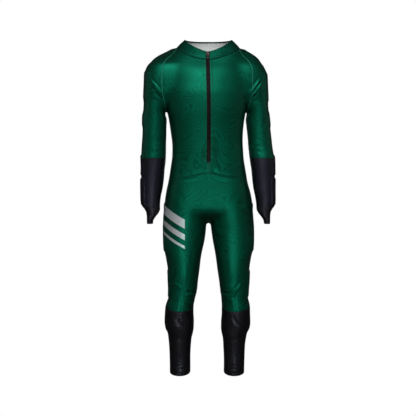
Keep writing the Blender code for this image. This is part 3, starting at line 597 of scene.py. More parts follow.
def sew(name, points, outer_cloth, lining, creases=(), pads=(), closed=False, normals=None,
        thickness=CLOTH_THICKNESS):
    """A panel of thin cloth over a grid of points on the form, with its flat sizes as its UVs.

    Points that come with their normals are used as they are, without creases and pads.
    """
    if normals is None:
        normals = outward(points)
        points = drape(points, normals, creases, pads)
    way = np.sum(np.cross(np.gradient(points, axis=1), np.gradient(points, axis=0)) * normals)
    points = stance(points)
    rows, columns = points.shape[:2]
    wrapped = np.concatenate([points, points[:, :1]], axis=1) if closed else points
    steps_across = np.linalg.norm(np.diff(wrapped, axis=1), axis=-1)
    steps_down = np.linalg.norm(np.diff(wrapped, axis=0), axis=-1).mean(axis=1)
    across = np.concatenate([np.zeros((rows, 1)), np.cumsum(steps_across, axis=1)], axis=1)
    down = np.concatenate([[0.0], np.cumsum(steps_down)])
    row, column = np.meshgrid(np.arange(rows - 1), np.arange(wrapped.shape[1] - 1), indexing="ij")
    corners = [(row, column), (row, column + 1), (row + 1, column + 1), (row + 1, column)]
    if way < 0:
        corners.reverse()
    faces = np.stack([at * columns + beside % columns for at, beside in corners], axis=-1)
    cut = [np.stack([across[at, beside], down[at]], axis=-1) for at, beside in corners]
    mesh = bpy.data.meshes.new(name)
    mesh.from_pydata(points.reshape(-1, 3).tolist(), [], faces.reshape(-1, 4).tolist())
    mesh.uv_layers.new(name="cut").data.foreach_set("uv", np.stack(cut, axis=-2).ravel())
    mesh.materials.append(outer_cloth)
    mesh.materials.append(lining)
    mesh.shade_smooth()
    panel = put_in_scene(name, mesh)
    shell = panel.modifiers.new("cloth", "SOLIDIFY")
    shell.thickness = thickness
    shell.offset = -1
    shell.material_offset = 1
    return panel


def finish_of(name, roughness, **sockets):
    """A new material with its shader's own values, its node tree and the shader."""
    made = bpy.data.materials.new(name)
    made.use_nodes = True
    shader = made.node_tree.nodes["Principled BSDF"]
    shader.inputs["Roughness"].default_value = roughness
    for socket, value in sockets.items():
        shader.inputs[socket.replace("_", " ")].default_value = value
    return made, made.node_tree, shader


def feed(tree, socket, value):
    """Give a socket another node's result, or a number or colour of its own."""
    if isinstance(value, bpy.types.NodeSocket):
        tree.links.new(value, socket)
    else:
        socket.default_value = value


def work_out(tree, operation, *values, kind="ShaderNodeMath"):
    """The result of a maths node on numbers or other nodes' results."""
    node = tree.nodes.new(kind)
    node.operation = operation
    for socket, value in zip(node.inputs, values):
        feed(tree, socket, value)
    return node.outputs[0]


def waves(tree, along, length):
    """Waves of a length, from -1 to 1."""
    return work_out(tree, "SINE", work_out(tree, "MULTIPLY", along, 2 * math.pi / length))


def ramp(tree, value, low, high, from_low=0.0, from_high=1.0, smooth=False):
    """A value carried from one range to another, and held at its ends."""
    node = tree.nodes.new("ShaderNodeMapRange")
    node.interpolation_type = "SMOOTHSTEP" if smooth else "LINEAR"
    tree.links.new(value, node.inputs["Value"])
    numbers = (from_low, from_high, low, high)
    for socket, number in zip(("From Min", "From Max", "To Min", "To Max"), numbers):
        node.inputs[socket].default_value = number
    return node.outputs["Result"]


def mix_colour(tree, share, first, second, way="MIX"):
    """One colour turning into another, or multiplied by it."""
    node = tree.nodes.new("ShaderNodeMix")
    node.data_type = "RGBA"
    node.blend_type = way
    feed(tree, node.inputs["Factor"], share)
    for socket, value in ((node.inputs[6], first), (node.inputs[7], second)):
        feed(tree, socket, value if isinstance(value, bpy.types.NodeSocket) else (*value, 1.0))
    return node.outputs[2]


def noise(tree, where, scale, detail=2.0, output="Fac"):
    """Cloudy values at places in a piece."""
    node = tree.nodes.new("ShaderNodeTexNoise")
    tree.links.new(where, node.inputs["Vector"])
    node.inputs["Scale"].default_value = scale
    node.inputs["Detail"].default_value = detail
    return node.outputs[output]


def clouds(tree, where, scale, detail=2.0, margin=0.3):
    """Cloudy values that reach from 0 to 1."""
    return ramp(tree, noise(tree, where, scale, detail), 0.0, 1.0, margin, 1.0 - margin)


def object_place(tree):
    """Where a place is in its piece's own frame, in metres."""
    return tree.nodes.new("ShaderNodeTexCoord").outputs["Object"]


def flat_place(tree):
    """How far across and down the flat cut a place is, in metres."""
    cut = tree.nodes.new("ShaderNodeUVMap")
    cut.uv_map = "cut"
    parts = tree.nodes.new("ShaderNodeSeparateXYZ")
    tree.links.new(cut.outputs["UV"], parts.inputs["Vector"])
    return parts.outputs["X"], parts.outputs["Y"]


COURSE_SHARE = 0.6          # how high a knit's courses stand beside its wales


def knit_relief(tree, wale, course, depth):
    """The small loops of a fine knit, as height in metres."""
    across, down = flat_place(tree)
    loops = work_out(tree, "MULTIPLY", waves(tree, down, course), COURSE_SHARE)
    return work_out(tree, "MULTIPLY", work_out(tree, "ADD", waves(tree, across, wale), loops), depth)


def surface(tree, shader, colour, height, depth=1.0):
    """Give a shader its colour, and raise its surface by a height at a depth in metres."""
    tree.links.new(colour, shader.inputs["Base Color"])
    bump = tree.nodes.new("ShaderNodeBump")
    bump.inputs["Strength"].default_value = 1.0
    bump.inputs["Distance"].default_value = 1.0
    tree.links.new(work_out(tree, "MULTIPLY", height, depth), bump.inputs["Height"])
    tree.links.new(bump.outputs["Normal"], shader.inputs["Normal"])


def painted_facing_shade(tree, painted_shade, painted_highlight, power):
    """Painted highlight and shade in a colour: lighter where the surface faces the eye, darker where it turns
    away.
    """
    turned_away = tree.nodes.new("ShaderNodeLayerWeight").outputs["Facing"]
    square_on = work_out(tree, "POWER", work_out(tree, "SUBTRACT", 1.0, turned_away), power)
    return mix_colour(tree, square_on, painted_shade, painted_highlight)


# The print is drawn out from front to back, where the cloth is mostly square to it
PRINT_DEPTH = 0.5
PRINT_WANDER = 0.11         # how far the lines bend from round, in metres
PRINT_BEND_SCALE = 9.0
PRINT_LINE = 0.0026
PRINT_SMOOTHNESS = 0.22
LINE_GLOSS = 0.78           # share of the gloss that is left on the printed lines
KNIT_IOR = 1.45
GREEN_SHEEN = (0.02, 0.95, 0.55, 1.0)
# How fast the painted shade darkens the green as the cloth turns away from the eye
GREEN_PAINTED_SHADE_POWER = 1.9
GREEN_CLOUDS = (30.0, 0.92)             # scale, and the share of the colour left where it is darkest
GREEN_KNIT = (0.0009, 0.0007, 0.00001)  # wale, course and depth in metres
LINING_KNIT = (0.0012, 0.0009, 0.00002)
LINING_COURSE = 0.0055


def contour_print(tree, where, cells, spacing):
    """1 on thin printed contour lines and 0 between them, nested round scattered places."""
    bend = noise(tree, where, PRINT_BEND_SCALE, output="Color")
    moved = work_out(tree, "MULTIPLY_ADD", bend, (PRINT_WANDER,) * 3, where, kind="ShaderNodeVectorMath")
    hills = tree.nodes.new("ShaderNodeTexVoronoi")
    hills.feature = "SMOOTH_F1"
    hills.inputs["Scale"].default_value = cells
    hills.inputs["Smoothness"].default_value = PRINT_SMOOTHNESS
    tree.links.new(moved, hills.inputs["Vector"])
    height = work_out(tree, "DIVIDE", hills.outputs["Distance"], cells * spacing)
    off = work_out(tree, "ABSOLUTE", work_out(tree, "SUBTRACT", work_out(tree, "FRACT", height), 0.5))
    narrow = PRINT_LINE / spacing
    return ramp(tree, off, 1.0, 0.0, narrow * 0.25, narrow * 0.75, smooth=True)


def printed_green(name, painted_shade, painted_highlight, ink, shift, cells=4.6, spacing=0.0098, gloss=1.0, roughness=0.50,
                  bands=False):
    """Glossy green stretch knit with thin darker contour lines printed all over it, and painted shade that
    darkens it where it turns away from the eye.
    """
    made, tree, shader = finish_of(name, roughness, IOR=KNIT_IOR, Specular_Tint=GREEN_SHEEN)
    rest = object_place(tree)
    where = work_out(tree, "MULTIPLY_ADD", rest, (1.0, PRINT_DEPTH, 1.0), (shift, shift * 0.7, -shift),
                     kind="ShaderNodeVectorMath")
    lines = contour_print(tree, where, cells, spacing)
    cloud_scale, cloud_shade = GREEN_CLOUDS
    tone = ramp(tree, clouds(tree, where, cloud_scale), cloud_shade, 1.0)
    tree.links.new(ramp(tree, lines, gloss, gloss * LINE_GLOSS), shader.inputs["Specular IOR Level"])
    tone = work_out(tree, "MULTIPLY", tone, ramp(tree, lines, 1.0, ink))
    # Painted highlight where the knit faces the eye and painted shade where it turns away, times the print
    # and its tone
    colour = mix_colour(tree, 1.0, painted_facing_shade(tree, painted_shade, painted_highlight, GREEN_PAINTED_SHADE_POWER), tone, "MULTIPLY")
    height = knit_relief(tree, *GREEN_KNIT)
    if bands:
        colour, height = silver_bands(tree, shader, rest, colour, height)
    surface(tree, shader, colour, height)
    return made


def grey_lining():
    """The light grey brushed inside of the knit, with faint courses across it."""
    made, tree, shader = finish_of("light grey inside of the cloth", 0.85)
    share = ramp(tree, waves(tree, flat_place(tree)[1], LINING_COURSE), 0.0, 1.0, -1.0, 1.0)
    colour = mix_colour(tree, share, (0.80, 0.84, 0.83), (0.92, 0.95, 0.94))
    surface(tree, shader, colour, knit_relief(tree, *LINING_KNIT))
    return made


# The green's painted shade where the cloth turns away from the eye, and its painted highlight where it faces
# it
GREEN_PAINTED_SHADE = (0.0003, 0.0075, 0.0045)
GREEN_PAINTED_HIGHLIGHT = (0.0007, 0.046, 0.0235)
LINE_INK = 0.52
torso_green = printed_green("green printed knit", GREEN_PAINTED_SHADE, GREEN_PAINTED_HIGHLIGHT, LINE_INK, 0.0)
lining = grey_lining()
front_half = torso_half(-1)
for side, turn_over in HANDS:
    front = sew("front_panel_" + side, turn_over(front_half), torso_green, lining, FRONT_CREASES)
    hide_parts("front_" + side)
    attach(front, "suit")


# BACK
# One full-width back panel of the same printed knit, from the waist seam up to the collar. It is
# pulled between the shoulder blades and gathers a little in the small of the back.

BACK_CREASES = (
    ("torso", 0, 166, -0.120, 156, -0.200, 160, -0.280, 0.0140, -0.0014),
    ("torso", 0, 118, -0.215, 128, -0.245, 142, -0.262, 0.0060, -0.0024),
    ("torso", 0, 116, -0.238, 126, -0.266, 140, -0.284, 0.0055, -0.0020),
    ("torso", 1, 182, -0.418, 152, -0.412, 122, -0.398, 0.0080, -0.0022),
    ("torso", -1, 176, -0.424, 150, -0.420, 128, -0.410, 0.0080, -0.0020),
    ("torso", 0, 180, -0.452, 150, -0.448, 118, -0.440, 0.0085, -0.0026),
    ("torso", 1, 176, -0.488, 154, -0.484, 126, -0.470, 0.0075, -0.0020),
    ("torso", -1, 184, -0.484, 150, -0.480, 120, -0.472, 0.0075, -0.0022),
    # behind the armpits
    ("arm", 0, 160, -0.140, 186, -0.180, 204, -0.214, 0.0050, -0.0028),
    ("arm", 0, 150, -0.168, 178, -0.202, 200, -0.228, 0.0050, -0.0022),
)


def whole(half):
    """A full-width grid from the half on the wearer's left, whose first column is the middle."""
    return np.concatenate([mirrored(half)[:, :0:-1], half], axis=1)


back_half = torso_half(1)
back = sew("back_panel", whole(back_half), torso_green, lining, BACK_CREASES)
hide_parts("back")
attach(back, "suit")


# SLEEVES
# Raglan sleeves of the same knit in a closer print, each one piece from the collar and the raglan
# seams down to the straight seam above the black forearm, closed under the arm. Foam pads in
# pockets inside stand out at the shoulder, the upper arm and the elbow.

SHOULDER_ROWS = 46
UPPER_ARM_ROWS = 30
UPPER_ARM = -0.330
ELBOW_SEAM = -0.455
SLEEVE_CREASES = (
    ("arm", 1, -30, -0.322, -6, -0.330, 22, -0.326, 0.0050, -0.0007),
    ("arm", 1, -28, -0.352, 0, -0.358, 26, -0.352, 0.0046, -0.0007),
    ("arm", -1, -34, -0.338, -8, -0.346, 18, -0.344, 0.0050, -0.0007),
    ("arm", 0, -60, -0.396, -24, -0.406, 8, -0.400, 0.0055, -0.0010),
    ("arm", 0, -66, -0.428, -30, -0.424, 2, -0.434, 0.0050, -0.0009),
    ("arm", 0, 150, -0.410, 180, -0.418, 214, -0.412, 0.0055, -0.0016),
)
# Limb, top, bottom, middle and half width in degrees from the outer side to the back, rise
ARM_PADS = (
    ("arm", -0.098, -0.219, 0, 62, 0.0030),
    ("arm", -0.262, -0.322, 0, 50, 0.0030),
    ("arm", -0.438, -0.527, 12, 62, 0.0040),
    ("arm", -0.534, -0.652, 8, 66, 0.0040),
)
PAD_EDGE = 0.007
PAD_EDGE_DEGREES = 10
ARM_START = 0.165


def ring_angles(columns):
    """Angles round a limb, from its inner side to the front, outside and back."""
    return np.radians(-90 + 360 * np.arange(columns) / columns)


def ring(sections, heights, columns):
    """Closed rings of points round a limb, at a height each or one for every point."""
    heights = np.reshape(heights, (len(np.atleast_1d(heights)), -1))
    return around(sections, ring_angles(columns), heights)


def sleeve_rows():
    """Closed rings of a raglan sleeve, from the raglan seams and the neck to the elbow seam."""
    _, neck, _ = neck_angles()
    front = raglan(RAGLAN_FRONT, RAGLAN_FRONT_ANGLE)
    rear = raglan(RAGLAN_BACK, RAGLAN_BACK_ANGLE)
    top = np.concatenate([front[:-1], neck_seam(neck), rear[-2:0:-1]])
    columns = len(top)
    upper_arm = ring(ARM, UPPER_ARM, columns)[0]
    corner = place(upper_arm[:, 0], (top[:, 1] + upper_arm[:, 1]) / 2, top[:, 2])
    arm_x, arm_y = centre_of(ARM, UPPER_ARM)
    share = np.linspace(0, 1, SHOULDER_ROWS + 1)[:, None, None]
    guide = top * (1 - share) ** 2 + corner * 2 * share * (1 - share) + upper_arm * share ** 2
    inside = RAGLAN_PIVOT * (1 - share) + np.array([arm_x, arm_y, UPPER_ARM]) * share
    shoulder = cast(inside, guide)
    shoulder[0] = top
    shoulder[-1] = upper_arm
    arm = ring(ARM, np.linspace(UPPER_ARM, ELBOW_SEAM, UPPER_ARM_ROWS + 1)[1:], columns)
    return np.concatenate([shoulder, arm])


# The sleeves' painted shade where the cloth turns away from the eye, and painted highlight where it faces it
SLEEVE_PAINTED_SHADE = (0.0004, 0.0075, 0.0045)
SLEEVE_PAINTED_HIGHLIGHT = (0.0012, 0.047, 0.025)
sleeve_green = printed_green("sleeve printed knit", SLEEVE_PAINTED_SHADE, SLEEVE_PAINTED_HIGHLIGHT, LINE_INK, 0.37, 5.5, 0.0080)
sleeve_grid = sleeve_rows()
sleeve_folds = FRONT_CREASES + BACK_CREASES + SLEEVE_CREASES
for side, turn_over in HANDS:
    sleeve = sew("sleeve_cloth_" + side, turn_over(sleeve_grid), sleeve_green, lining, sleeve_folds, ARM_PADS,
                 closed=True)
    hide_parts("sleeve_" + side)
    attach(sleeve, "suit")


# FOREARMS
# Black stretch knit from the elbow seam to the wrist hem, over a long forearm guard. It is a
# closed tube, seamed along the inner side of the arm.

FOREARM_ROWS = 52
WRIST_SEAM = -0.656


BLACK_SHEEN = (0.8, 0.85, 1.0, 1.0)
# How fast the painted shade darkens the black knit as it turns away from the eye
BLACK_PAINTED_SHADE_POWER = 3.0
BLACK_GLOSS = 0.25
BLACK_CLOUDS = (40.0, 0.80)             # scale, and the share of the colour left where it is darkest
BLACK_KNIT = (0.0010, 0.0008, 0.000014)


def black_knit(name, painted_shade, painted_highlight, roughness):
    """Black stretch knit with a soft bluish gloss, a bluish painted highlight where it faces the eye and
    painted shade where it turns away.
    """
    made, tree, shader = finish_of(name, roughness, IOR=KNIT_IOR, Specular_IOR_Level=BLACK_GLOSS,
                                   Specular_Tint=BLACK_SHEEN)
    cloud_scale, cloud_shade = BLACK_CLOUDS
    cloudy = ramp(tree, noise(tree, object_place(tree), cloud_scale), cloud_shade, 1.0, 0.3, 0.7)
    # Painted highlight where the knit faces the eye and painted shade where it turns away, times its uneven
    # tone
    colour = mix_colour(tree, 1.0, painted_facing_shade(tree, painted_shade, painted_highlight, BLACK_PAINTED_SHADE_POWER), cloudy, "MULTIPLY")
    surface(tree, shader, colour, knit_relief(tree, *BLACK_KNIT))
    return made


# The forearm knit's painted shade, then its painted highlight
forearm_black = black_knit("black forearm knit", (0.0022, 0.0022, 0.0030), (0.0120, 0.0120, 0.0200), 0.45)
columns_round_arm = sleeve_grid.shape[1]
forearm_grid = ring(ARM, np.linspace(ELBOW_SEAM, WRIST_SEAM, FOREARM_ROWS + 1), columns_round_arm)
for side, turn_over in HANDS:
    forearm = sew("forearm_cloth_" + side, turn_over(forearm_grid), forearm_black, lining, SLEEVE_CREASES,
                  ARM_PADS, closed=True)
    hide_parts("forearm_" + side)
    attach(forearm, "suit")


# HAND GAITERS
# Thin black stretch mesh on the bias, sewn inside the wrist hem and tapering to an open point
# that holds the sleeve down over the hand.

GAITER_ROWS = 26
GAITER_TIP = -0.726
GAITER_THICKNESS = 0.0006
MESH_PITCH = 0.0034
MESH_DEPTH = 0.00008
# How fast the painted shade darkens the mesh threads as they turn away from the eye
MESH_PAINTED_SHADE_POWER = 2.5
MESH_HOLES = (0.0015, 0.0015, 0.0020)


def black_mesh():
    """Fine black mesh whose threads run on the bias."""
    made, tree, shader = finish_of("black stretch mesh", 0.5, IOR=KNIT_IOR, Specular_IOR_Level=BLACK_GLOSS)
    across, down = flat_place(tree)
    threads = [waves(tree, work_out(tree, way, across, down), MESH_PITCH) for way in ("ADD", "SUBTRACT")]
    raised = work_out(tree, "MAXIMUM", *threads)
    share = ramp(tree, raised, 0.0, 1.0, -0.5, 1.0)
    # The threads' painted shade where they turn away from the eye, and their painted highlight where they
    # face it
    ground = painted_facing_shade(tree, (0.0020, 0.0020, 0.0028), (0.0150, 0.0150, 0.0210), MESH_PAINTED_SHADE_POWER)
    surface(tree, shader, mix_colour(tree, share, MESH_HOLES, ground), raised, MESH_DEPTH)
    return made


gaiter_mesh = black_mesh()
gaiter_grid = ring(ARM, np.linspace(WRIST_SEAM, GAITER_TIP, GAITER_ROWS + 1), columns_round_arm)
for side, turn_over in HANDS:
    gaiter = sew("gaiter_mesh_" + side, turn_over(gaiter_grid), gaiter_mesh, gaiter_mesh, SLEEVE_CREASES,
                 ARM_PADS, closed=True, thickness=GAITER_THICKNESS)
    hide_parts("hand_gaiter_" + side)
    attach(gaiter, "suit")


# LEGS
# Front and back leg panels of the printed knit, from the waist seam to the seam under the knee,
# over pads at the hip and the outside of the knee. Three plain silver bands are heat-pressed round
# the outside of the wearer's right thigh.

PELVIS_ROWS = 48
THIGH_ROWS = 84
KNEE_INNER = -1.080
KNEE_OUTER = -1.068
KNEE_SAG = 0.018
CROTCH_PIVOT = np.array((0.0, 0.011, -0.620))
LEG_CREASES = (
    # the knees
    ("leg", -1, -92, -1.012, -48, -1.010, -16, -1.005, 0.0046, -0.0044),
    ("leg", -1, -74, -1.026, -46, -1.024, -22, -1.018, 0.0044, 0.0022),
    ("leg", -1, 30, -0.966, 14, -0.980, 2, -0.990, 0.0048, 0.0022),
    ("leg", 1, -88, -1.004, -45, -1.012, -8, -1.010, 0.0044, -0.0044),
    ("leg", 1, -14, -1.010, 3, -0.986, 18, -0.964, 0.0040, -0.0032),
    ("leg", 1, -6, -1.020, 10, -0.992, 24, -0.972, 0.0046, 0.0026),
    ("leg", 1, -14, -1.030, -12, -1.052, -14, -1.074, 0.0060, 0.0016),
    ("leg", 0, -70, -1.046, -40, -1.052, -10, -1.048, 0.0060, -0.0012),
    # the thighs
    ("leg", 0, -62, -0.742, -46, -0.780, -36, -0.830, 0.0090, -0.0018),
    ("leg", 1, -70, -0.728, -20, -0.744, 16, -0.730, 0.0080, -0.0010),
    ("leg", -1, -70, -0.730, -26, -0.748, 4, -0.738, 0.0080, -0.0010),
    ("leg", 0, 205, -0.800, 175, -0.812, 140, -0.800, 0.0090, -0.0032),
    ("leg", 0, 198, -0.828, 176, -0.838, 150, -0.830, 0.0080, -0.0018),
    # behind the knees
    ("leg", 0, 226, -1.000, 180, -1.010, 140, -1.000, 0.0060, -0.0036),
    ("leg", 0, 220, -1.026, 182, -1.034, 146, -1.028, 0.0055, -0.0032),
    ("leg", 0, 214, -0.974, 178, -0.982, 150, -0.976, 0.0060, -0.0022),
    ("leg", 0, 218, -1.046, 184, -1.052, 152, -1.046, 0.0050, -0.0020),
)
LEG_PADS = (
    ("leg", -0.640, -0.846, 0, 40, 0.0030),
    ("leg", -0.922, -1.040, 0, 44, 0.0030),
)
SILVER = (0.48, 0.50, 0.525)
# Height of the middle of each band at the suit's middle plane, its half width
BAND_ROWS = ((-0.765, 0.019), (-0.820, 0.012), (-0.862, 0.006))
BAND_SLOPE = 0.55
BAND_LIFT = 0.10            # by which they rise towards the back
BAND_END = -0.096
BAND_EDGE = 0.0003
BAND_DEPTH = 0.0002
BAND_ROUGHNESS = 0.42
BAND_METALLIC = 0.12
# The silver's painted shade where the bands turn away from the eye, and how fast it comes on
SILVER_PAINTED_SHADE = 0.45          # share of its colour left where it turns away
SILVER_PAINTED_SHADE_POWER = 1.3
SILVER_GRAIN = (0.20, 0.21, 0.22)


def silver_bands(tree, shader, rest, colour, height):
    """Silver bands over a colour and its relief, with painted shade where they turn away from the eye, and
    their smoother gloss.
    """
    parts = tree.nodes.new("ShaderNodeSeparateXYZ")
    tree.links.new(rest, parts.inputs["Vector"])
    x, y, z = parts.outputs
    slanted = work_out(tree, "ADD", z, work_out(tree, "MULTIPLY", x, BAND_SLOPE))
    slanted = work_out(tree, "SUBTRACT", slanted, work_out(tree, "MULTIPLY", y, BAND_LIFT))
    band = 0.0
    for middle, half_width in BAND_ROWS:
        away = work_out(tree, "ABSOLUTE", work_out(tree, "SUBTRACT", slanted, middle))
        mask = ramp(tree, away, 1.0, 0.0, half_width - BAND_EDGE, half_width + BAND_EDGE)
        band = work_out(tree, "MAXIMUM", mask, band)
    within = ramp(tree, x, 1.0, 0.0, BAND_END - BAND_EDGE, BAND_END + BAND_EDGE)
    band = work_out(tree, "MULTIPLY", band, within)
    # Painted shade on the silver where it turns away from the eye
    silver = painted_facing_shade(tree, [value * SILVER_PAINTED_SHADE for value in SILVER], SILVER, SILVER_PAINTED_SHADE_POWER)
    grain = ramp(tree, clouds(tree, rest, 90.0, 3.0), 0.0, 0.12)
    silver = mix_colour(tree, grain, silver, SILVER_GRAIN)
    tree.links.new(ramp(tree, band, 0.5, BAND_ROUGHNESS), shader.inputs["Roughness"])
    tree.links.new(work_out(tree, "MULTIPLY", band, BAND_METALLIC), shader.inputs["Metallic"])
    raised = work_out(tree, "ADD", height, work_out(tree, "MULTIPLY", band, BAND_DEPTH))
    return mix_colour(tree, band, colour, silver), raised


def crotch_line(facing, waist_point):
    """Points down the middle of the pelvis, from the waist seam to under the crotch."""
    _, pivot_y, pivot_z = CROTCH_PIVOT
    start = math.atan2(waist_point[2] - pivot_z, facing * (waist_point[1] - pivot_y))
    angle = np.linspace(start, -math.pi / 2, PELVIS_ROWS + 1)
    toward = CROTCH_PIVOT + GUIDE_REACH * place(0.0, facing * np.cos(angle), np.sin(angle))
    points = cast(CROTCH_PIVOT, toward)
    points[0] = waist_point
    return points


def leg_half(facing, waist_row):
    """A leg's front or back panel, from the waist seam down to the knee seam."""
    middles = crotch_line(facing, waist_row[0])
    crotch = middles[-1, 2]
    side_heights = np.linspace(WAIST_SIDE, crotch, PELVIS_ROWS + 1)
    inner_heights = np.linspace(crotch, KNEE_INNER, THIGH_ROWS + 1)[1:]
    outer_heights = np.linspace(crotch, KNEE_OUTER, THIGH_ROWS + 1)[1:]
    x, y = centre_of(LEG, inner_heights)
    inseam = cast(place(x, y, inner_heights), place(x - GUIDE_REACH, y, inner_heights))
    first = np.concatenate([middles, inseam])
    last = side_line(np.concatenate([side_heights, outer_heights]))
    rows = np.arange(len(first))
    settle = np.clip(1 - rows / PELVIS_ROWS, 0, 1)
    down_thigh = np.clip(rows - PELVIS_ROWS, 0, None) / THIGH_ROWS
    sag = KNEE_SAG * down_thigh ** 2 * (facing < 0)
    spread = column_spread(facing)
    hold = (rows <= PELVIS_ROWS)[:, None] * (1 - spread) ** 4
    return rows_across(first, last, spread, LEG, facing, (0, waist_row, settle), CROTCH_PIVOT, hold, sag)


LEG_PRINT_SHIFT = 0.81
# The legs' knit has the same painted shade and painted highlight as the fronts
leg_green = printed_green("leg printed knit", GREEN_PAINTED_SHADE, GREEN_PAINTED_HIGHLIGHT, LINE_INK, LEG_PRINT_SHIFT)
banded_green = printed_green("leg printed knit with silver bands", GREEN_PAINTED_SHADE, GREEN_PAINTED_HIGHLIGHT, LINE_INK,
                             LEG_PRINT_SHIFT, bands=True)
leg_front_grid = leg_half(-1, front_half[0])
leg_back_grid = leg_half(1, back_half[0])
leg_folds = FRONT_CREASES + BACK_CREASES + LEG_CREASES
for (side, turn_over), cloth in zip(HANDS, (leg_green, banded_green)):
    for face, grid in (("front", leg_front_grid), ("back", leg_back_grid)):
        leg = sew("leg_" + face + "_panel_" + side, turn_over(grid), cloth, lining, leg_folds, LEG_PADS)
        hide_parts("leg_" + face + "_" + side)
        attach(leg, "suit")


# SHINS
# Black stretch knit from the seam under the knee to the ankle hem, over a shin guard. It is a
# closed tube, seamed along the inner side of the leg.

SHIN_ROWS = 72
ANKLE_HEM = -1.3655
HEM_SLANT = 0.0075          # by which the hem is lower in front, and higher behind
SHIN_CREASES = (
    ("leg", 1, -8, -1.100, -5, -1.130, 22, -1.166, 0.0060, -0.0022),
    ("leg", -1, 6, -1.105, 2, -1.135, -24, -1.168, 0.0070, -0.0014),
    ("leg", 0, -60, -1.205, 0, -1.212, 60, -1.204, 0.0090, -0.0006),
    ("leg", 0, -50, -1.336, -10, -1.341, 30, -1.336, 0.0040, -0.0008),
    ("leg", 0, -30, -1.326, 20, -1.329, 60, -1.325, 0.0040, -0.0007),
)


def hem_heights(columns):
    """The height of the ankle hem at angles round the leg."""
    return ANKLE_HEM - HEM_SLANT * np.cos(ring_angles(columns))


def shin_rows():
    """Closed rings of a shin, whose columns start where those of the leg panels end."""
    knee = np.concatenate([leg_front_grid[-1], leg_back_grid[-1][-2:0:-1]])
    share = np.linspace(0, 1, SHIN_ROWS + 1)[:, None]
    heights = knee[:, 2] * (1 - share) + hem_heights(len(knee)) * share
    start = np.unwrap(polar(knee, LEG, -1)[0])
    even = ring_angles(len(knee))
    angle = even + (start - even) * np.clip(1 - 2 * share, 0, 1)
    points = around(LEG, angle, heights)
    points[0] = knee
    return points


# The shin knit's painted shade, then its painted highlight
shin_black = black_knit("black shin knit", (0.0020, 0.0020, 0.0024), (0.0120, 0.0120, 0.0145), 0.42)
shin_grid = shin_rows()
shin_folds = LEG_CREASES + SHIN_CREASES
for side, turn_over in HANDS:
    shin = sew("shin_cloth_" + side, turn_over(shin_grid), shin_black, lining, shin_folds, LEG_PADS,
               closed=True)
    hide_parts("shin_" + side)
    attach(shin, "suit")


# COLLAR
# A doubled band of dark green knit round the neck, open at the front where the zip runs up.

COLLAR_ROWS = 14
COLLAR_TOP_HALF_WIDTH = 0.097
COLLAR_TOP_HALF_DEPTH = 0.067
COLLAR_TOP_DEPTH_CENTRE = 0.006
# Degrees from the front, height of the top edge
COLLAR_TOP = ((0, -0.026), (16, -0.017), (30, -0.007), (50, 0.009), (68, 0.0235), (90, 0.034),
              (180, 0.037))
COLLAR_BULGE = 0.0015
COLLAR_THICKNESS = 0.0016
COLLAR_TOP_CURVE = smooth_table(COLLAR_TOP)


def collar_top(degrees):
    """Points on the collar's top edge, by the angle from the front."""
    angle = np.radians(degrees)
    x = COLLAR_TOP_HALF_WIDTH * np.sin(angle)
    y = COLLAR_TOP_DEPTH_CENTRE - COLLAR_TOP_HALF_DEPTH * np.cos(angle)
    return place(x, y, look_up(COLLAR_TOP_CURVE, degrees)[0])


def collar_rows(degrees, edge=None):
    """Rows of the collar band, from the neck seam to its top edge."""
    base = neck_seam(degrees)
    above = degrees
    if edge is not None:
        start = math.degrees(math.asin(edge / COLLAR_TOP_HALF_WIDTH))
        above = start + (degrees - degrees[0]) * (180 - start) / (180 - degrees[0])
    top = collar_top(above)
    share = np.linspace(0, 1, COLLAR_ROWS + 1)[:, None, None]
    return base * (1 - share) + top * share


def collar_normals(points):
    """Unit vectors straight out of the collar band."""
    normals = unit(np.cross(np.gradient(points, axis=1), np.gradient(points, axis=0)))
    middle = np.array([0.0, NECK_DEPTH_CENTRE, 0.0])
    outer_side = np.sum(normals * (points - middle) * np.array([1, 1, 0]), axis=-1, keepdims=True)
    return normals * np.sign(outer_side)


def collar_band():
    """The collar's points and the way out of it there, bulged a little between its edges."""
    degrees = np.concatenate([angles[:-1] for angles in neck_angles()] + [[180.0]])
    half = collar_rows(degrees, ZIP_HALF_WIDTH)
    points = np.concatenate([half, mirrored(half)[:, -2::-1]], axis=1)
    normals = collar_normals(points)
    normals[0] = outward(points[0])
    share = np.linspace(0, 1, COLLAR_ROWS + 1)[:, None, None]
    return points + normals * COLLAR_BULGE * np.sin(np.pi * share), normals


# The collar's painted shade where it turns away from the eye, then its painted highlight where it faces it
collar_green = printed_green("dark green collar knit", (0.0004, 0.009, 0.006), (0.0014, 0.052, 0.030), 0.5,
                             1.3, 14.0, 0.0050, gloss=0.7, roughness=0.55)
collar_points, collar_out = collar_band()
collar = sew("collar_band", collar_points, collar_green, lining, normals=collar_out,
             thickness=COLLAR_THICKNESS)
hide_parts("collar")
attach(collar, "suit")

# The strip that binds the collar's top edge: how far out of the collar, how far down it
BINDING_SECTION = (
    (0.0004, 0.0034),
    (0.0005, 0.0002),
    (0.0001, -0.0006),
    (-0.0010, -0.0008),
    (-0.0019, -0.0005),
    (-0.0022, 0.0002),
    (-0.0021, 0.0052),
)
BINDING_THICKNESS = 0.0003
top_edge = collar_points[-1]
top_out = collar_out[-1]
top_down = unit(collar_points[-2] - top_edge)
strip = np.stack([top_edge + top_out * out + top_down * down for out, down in BINDING_SECTION])
strip_out = np.cross(np.gradient(strip, axis=1), np.gradient(strip, axis=0))
strip_out *= np.sign(np.sum(strip_out[0] * top_out))
binding = sew("collar_binding", strip, collar_green, collar_green, normals=strip_out,
              thickness=BINDING_THICKNESS)
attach(binding, "suit")


# ZIP
# A one-way moulded zip on woven black tape, sewn under the fronts' edges and the collar's ends.

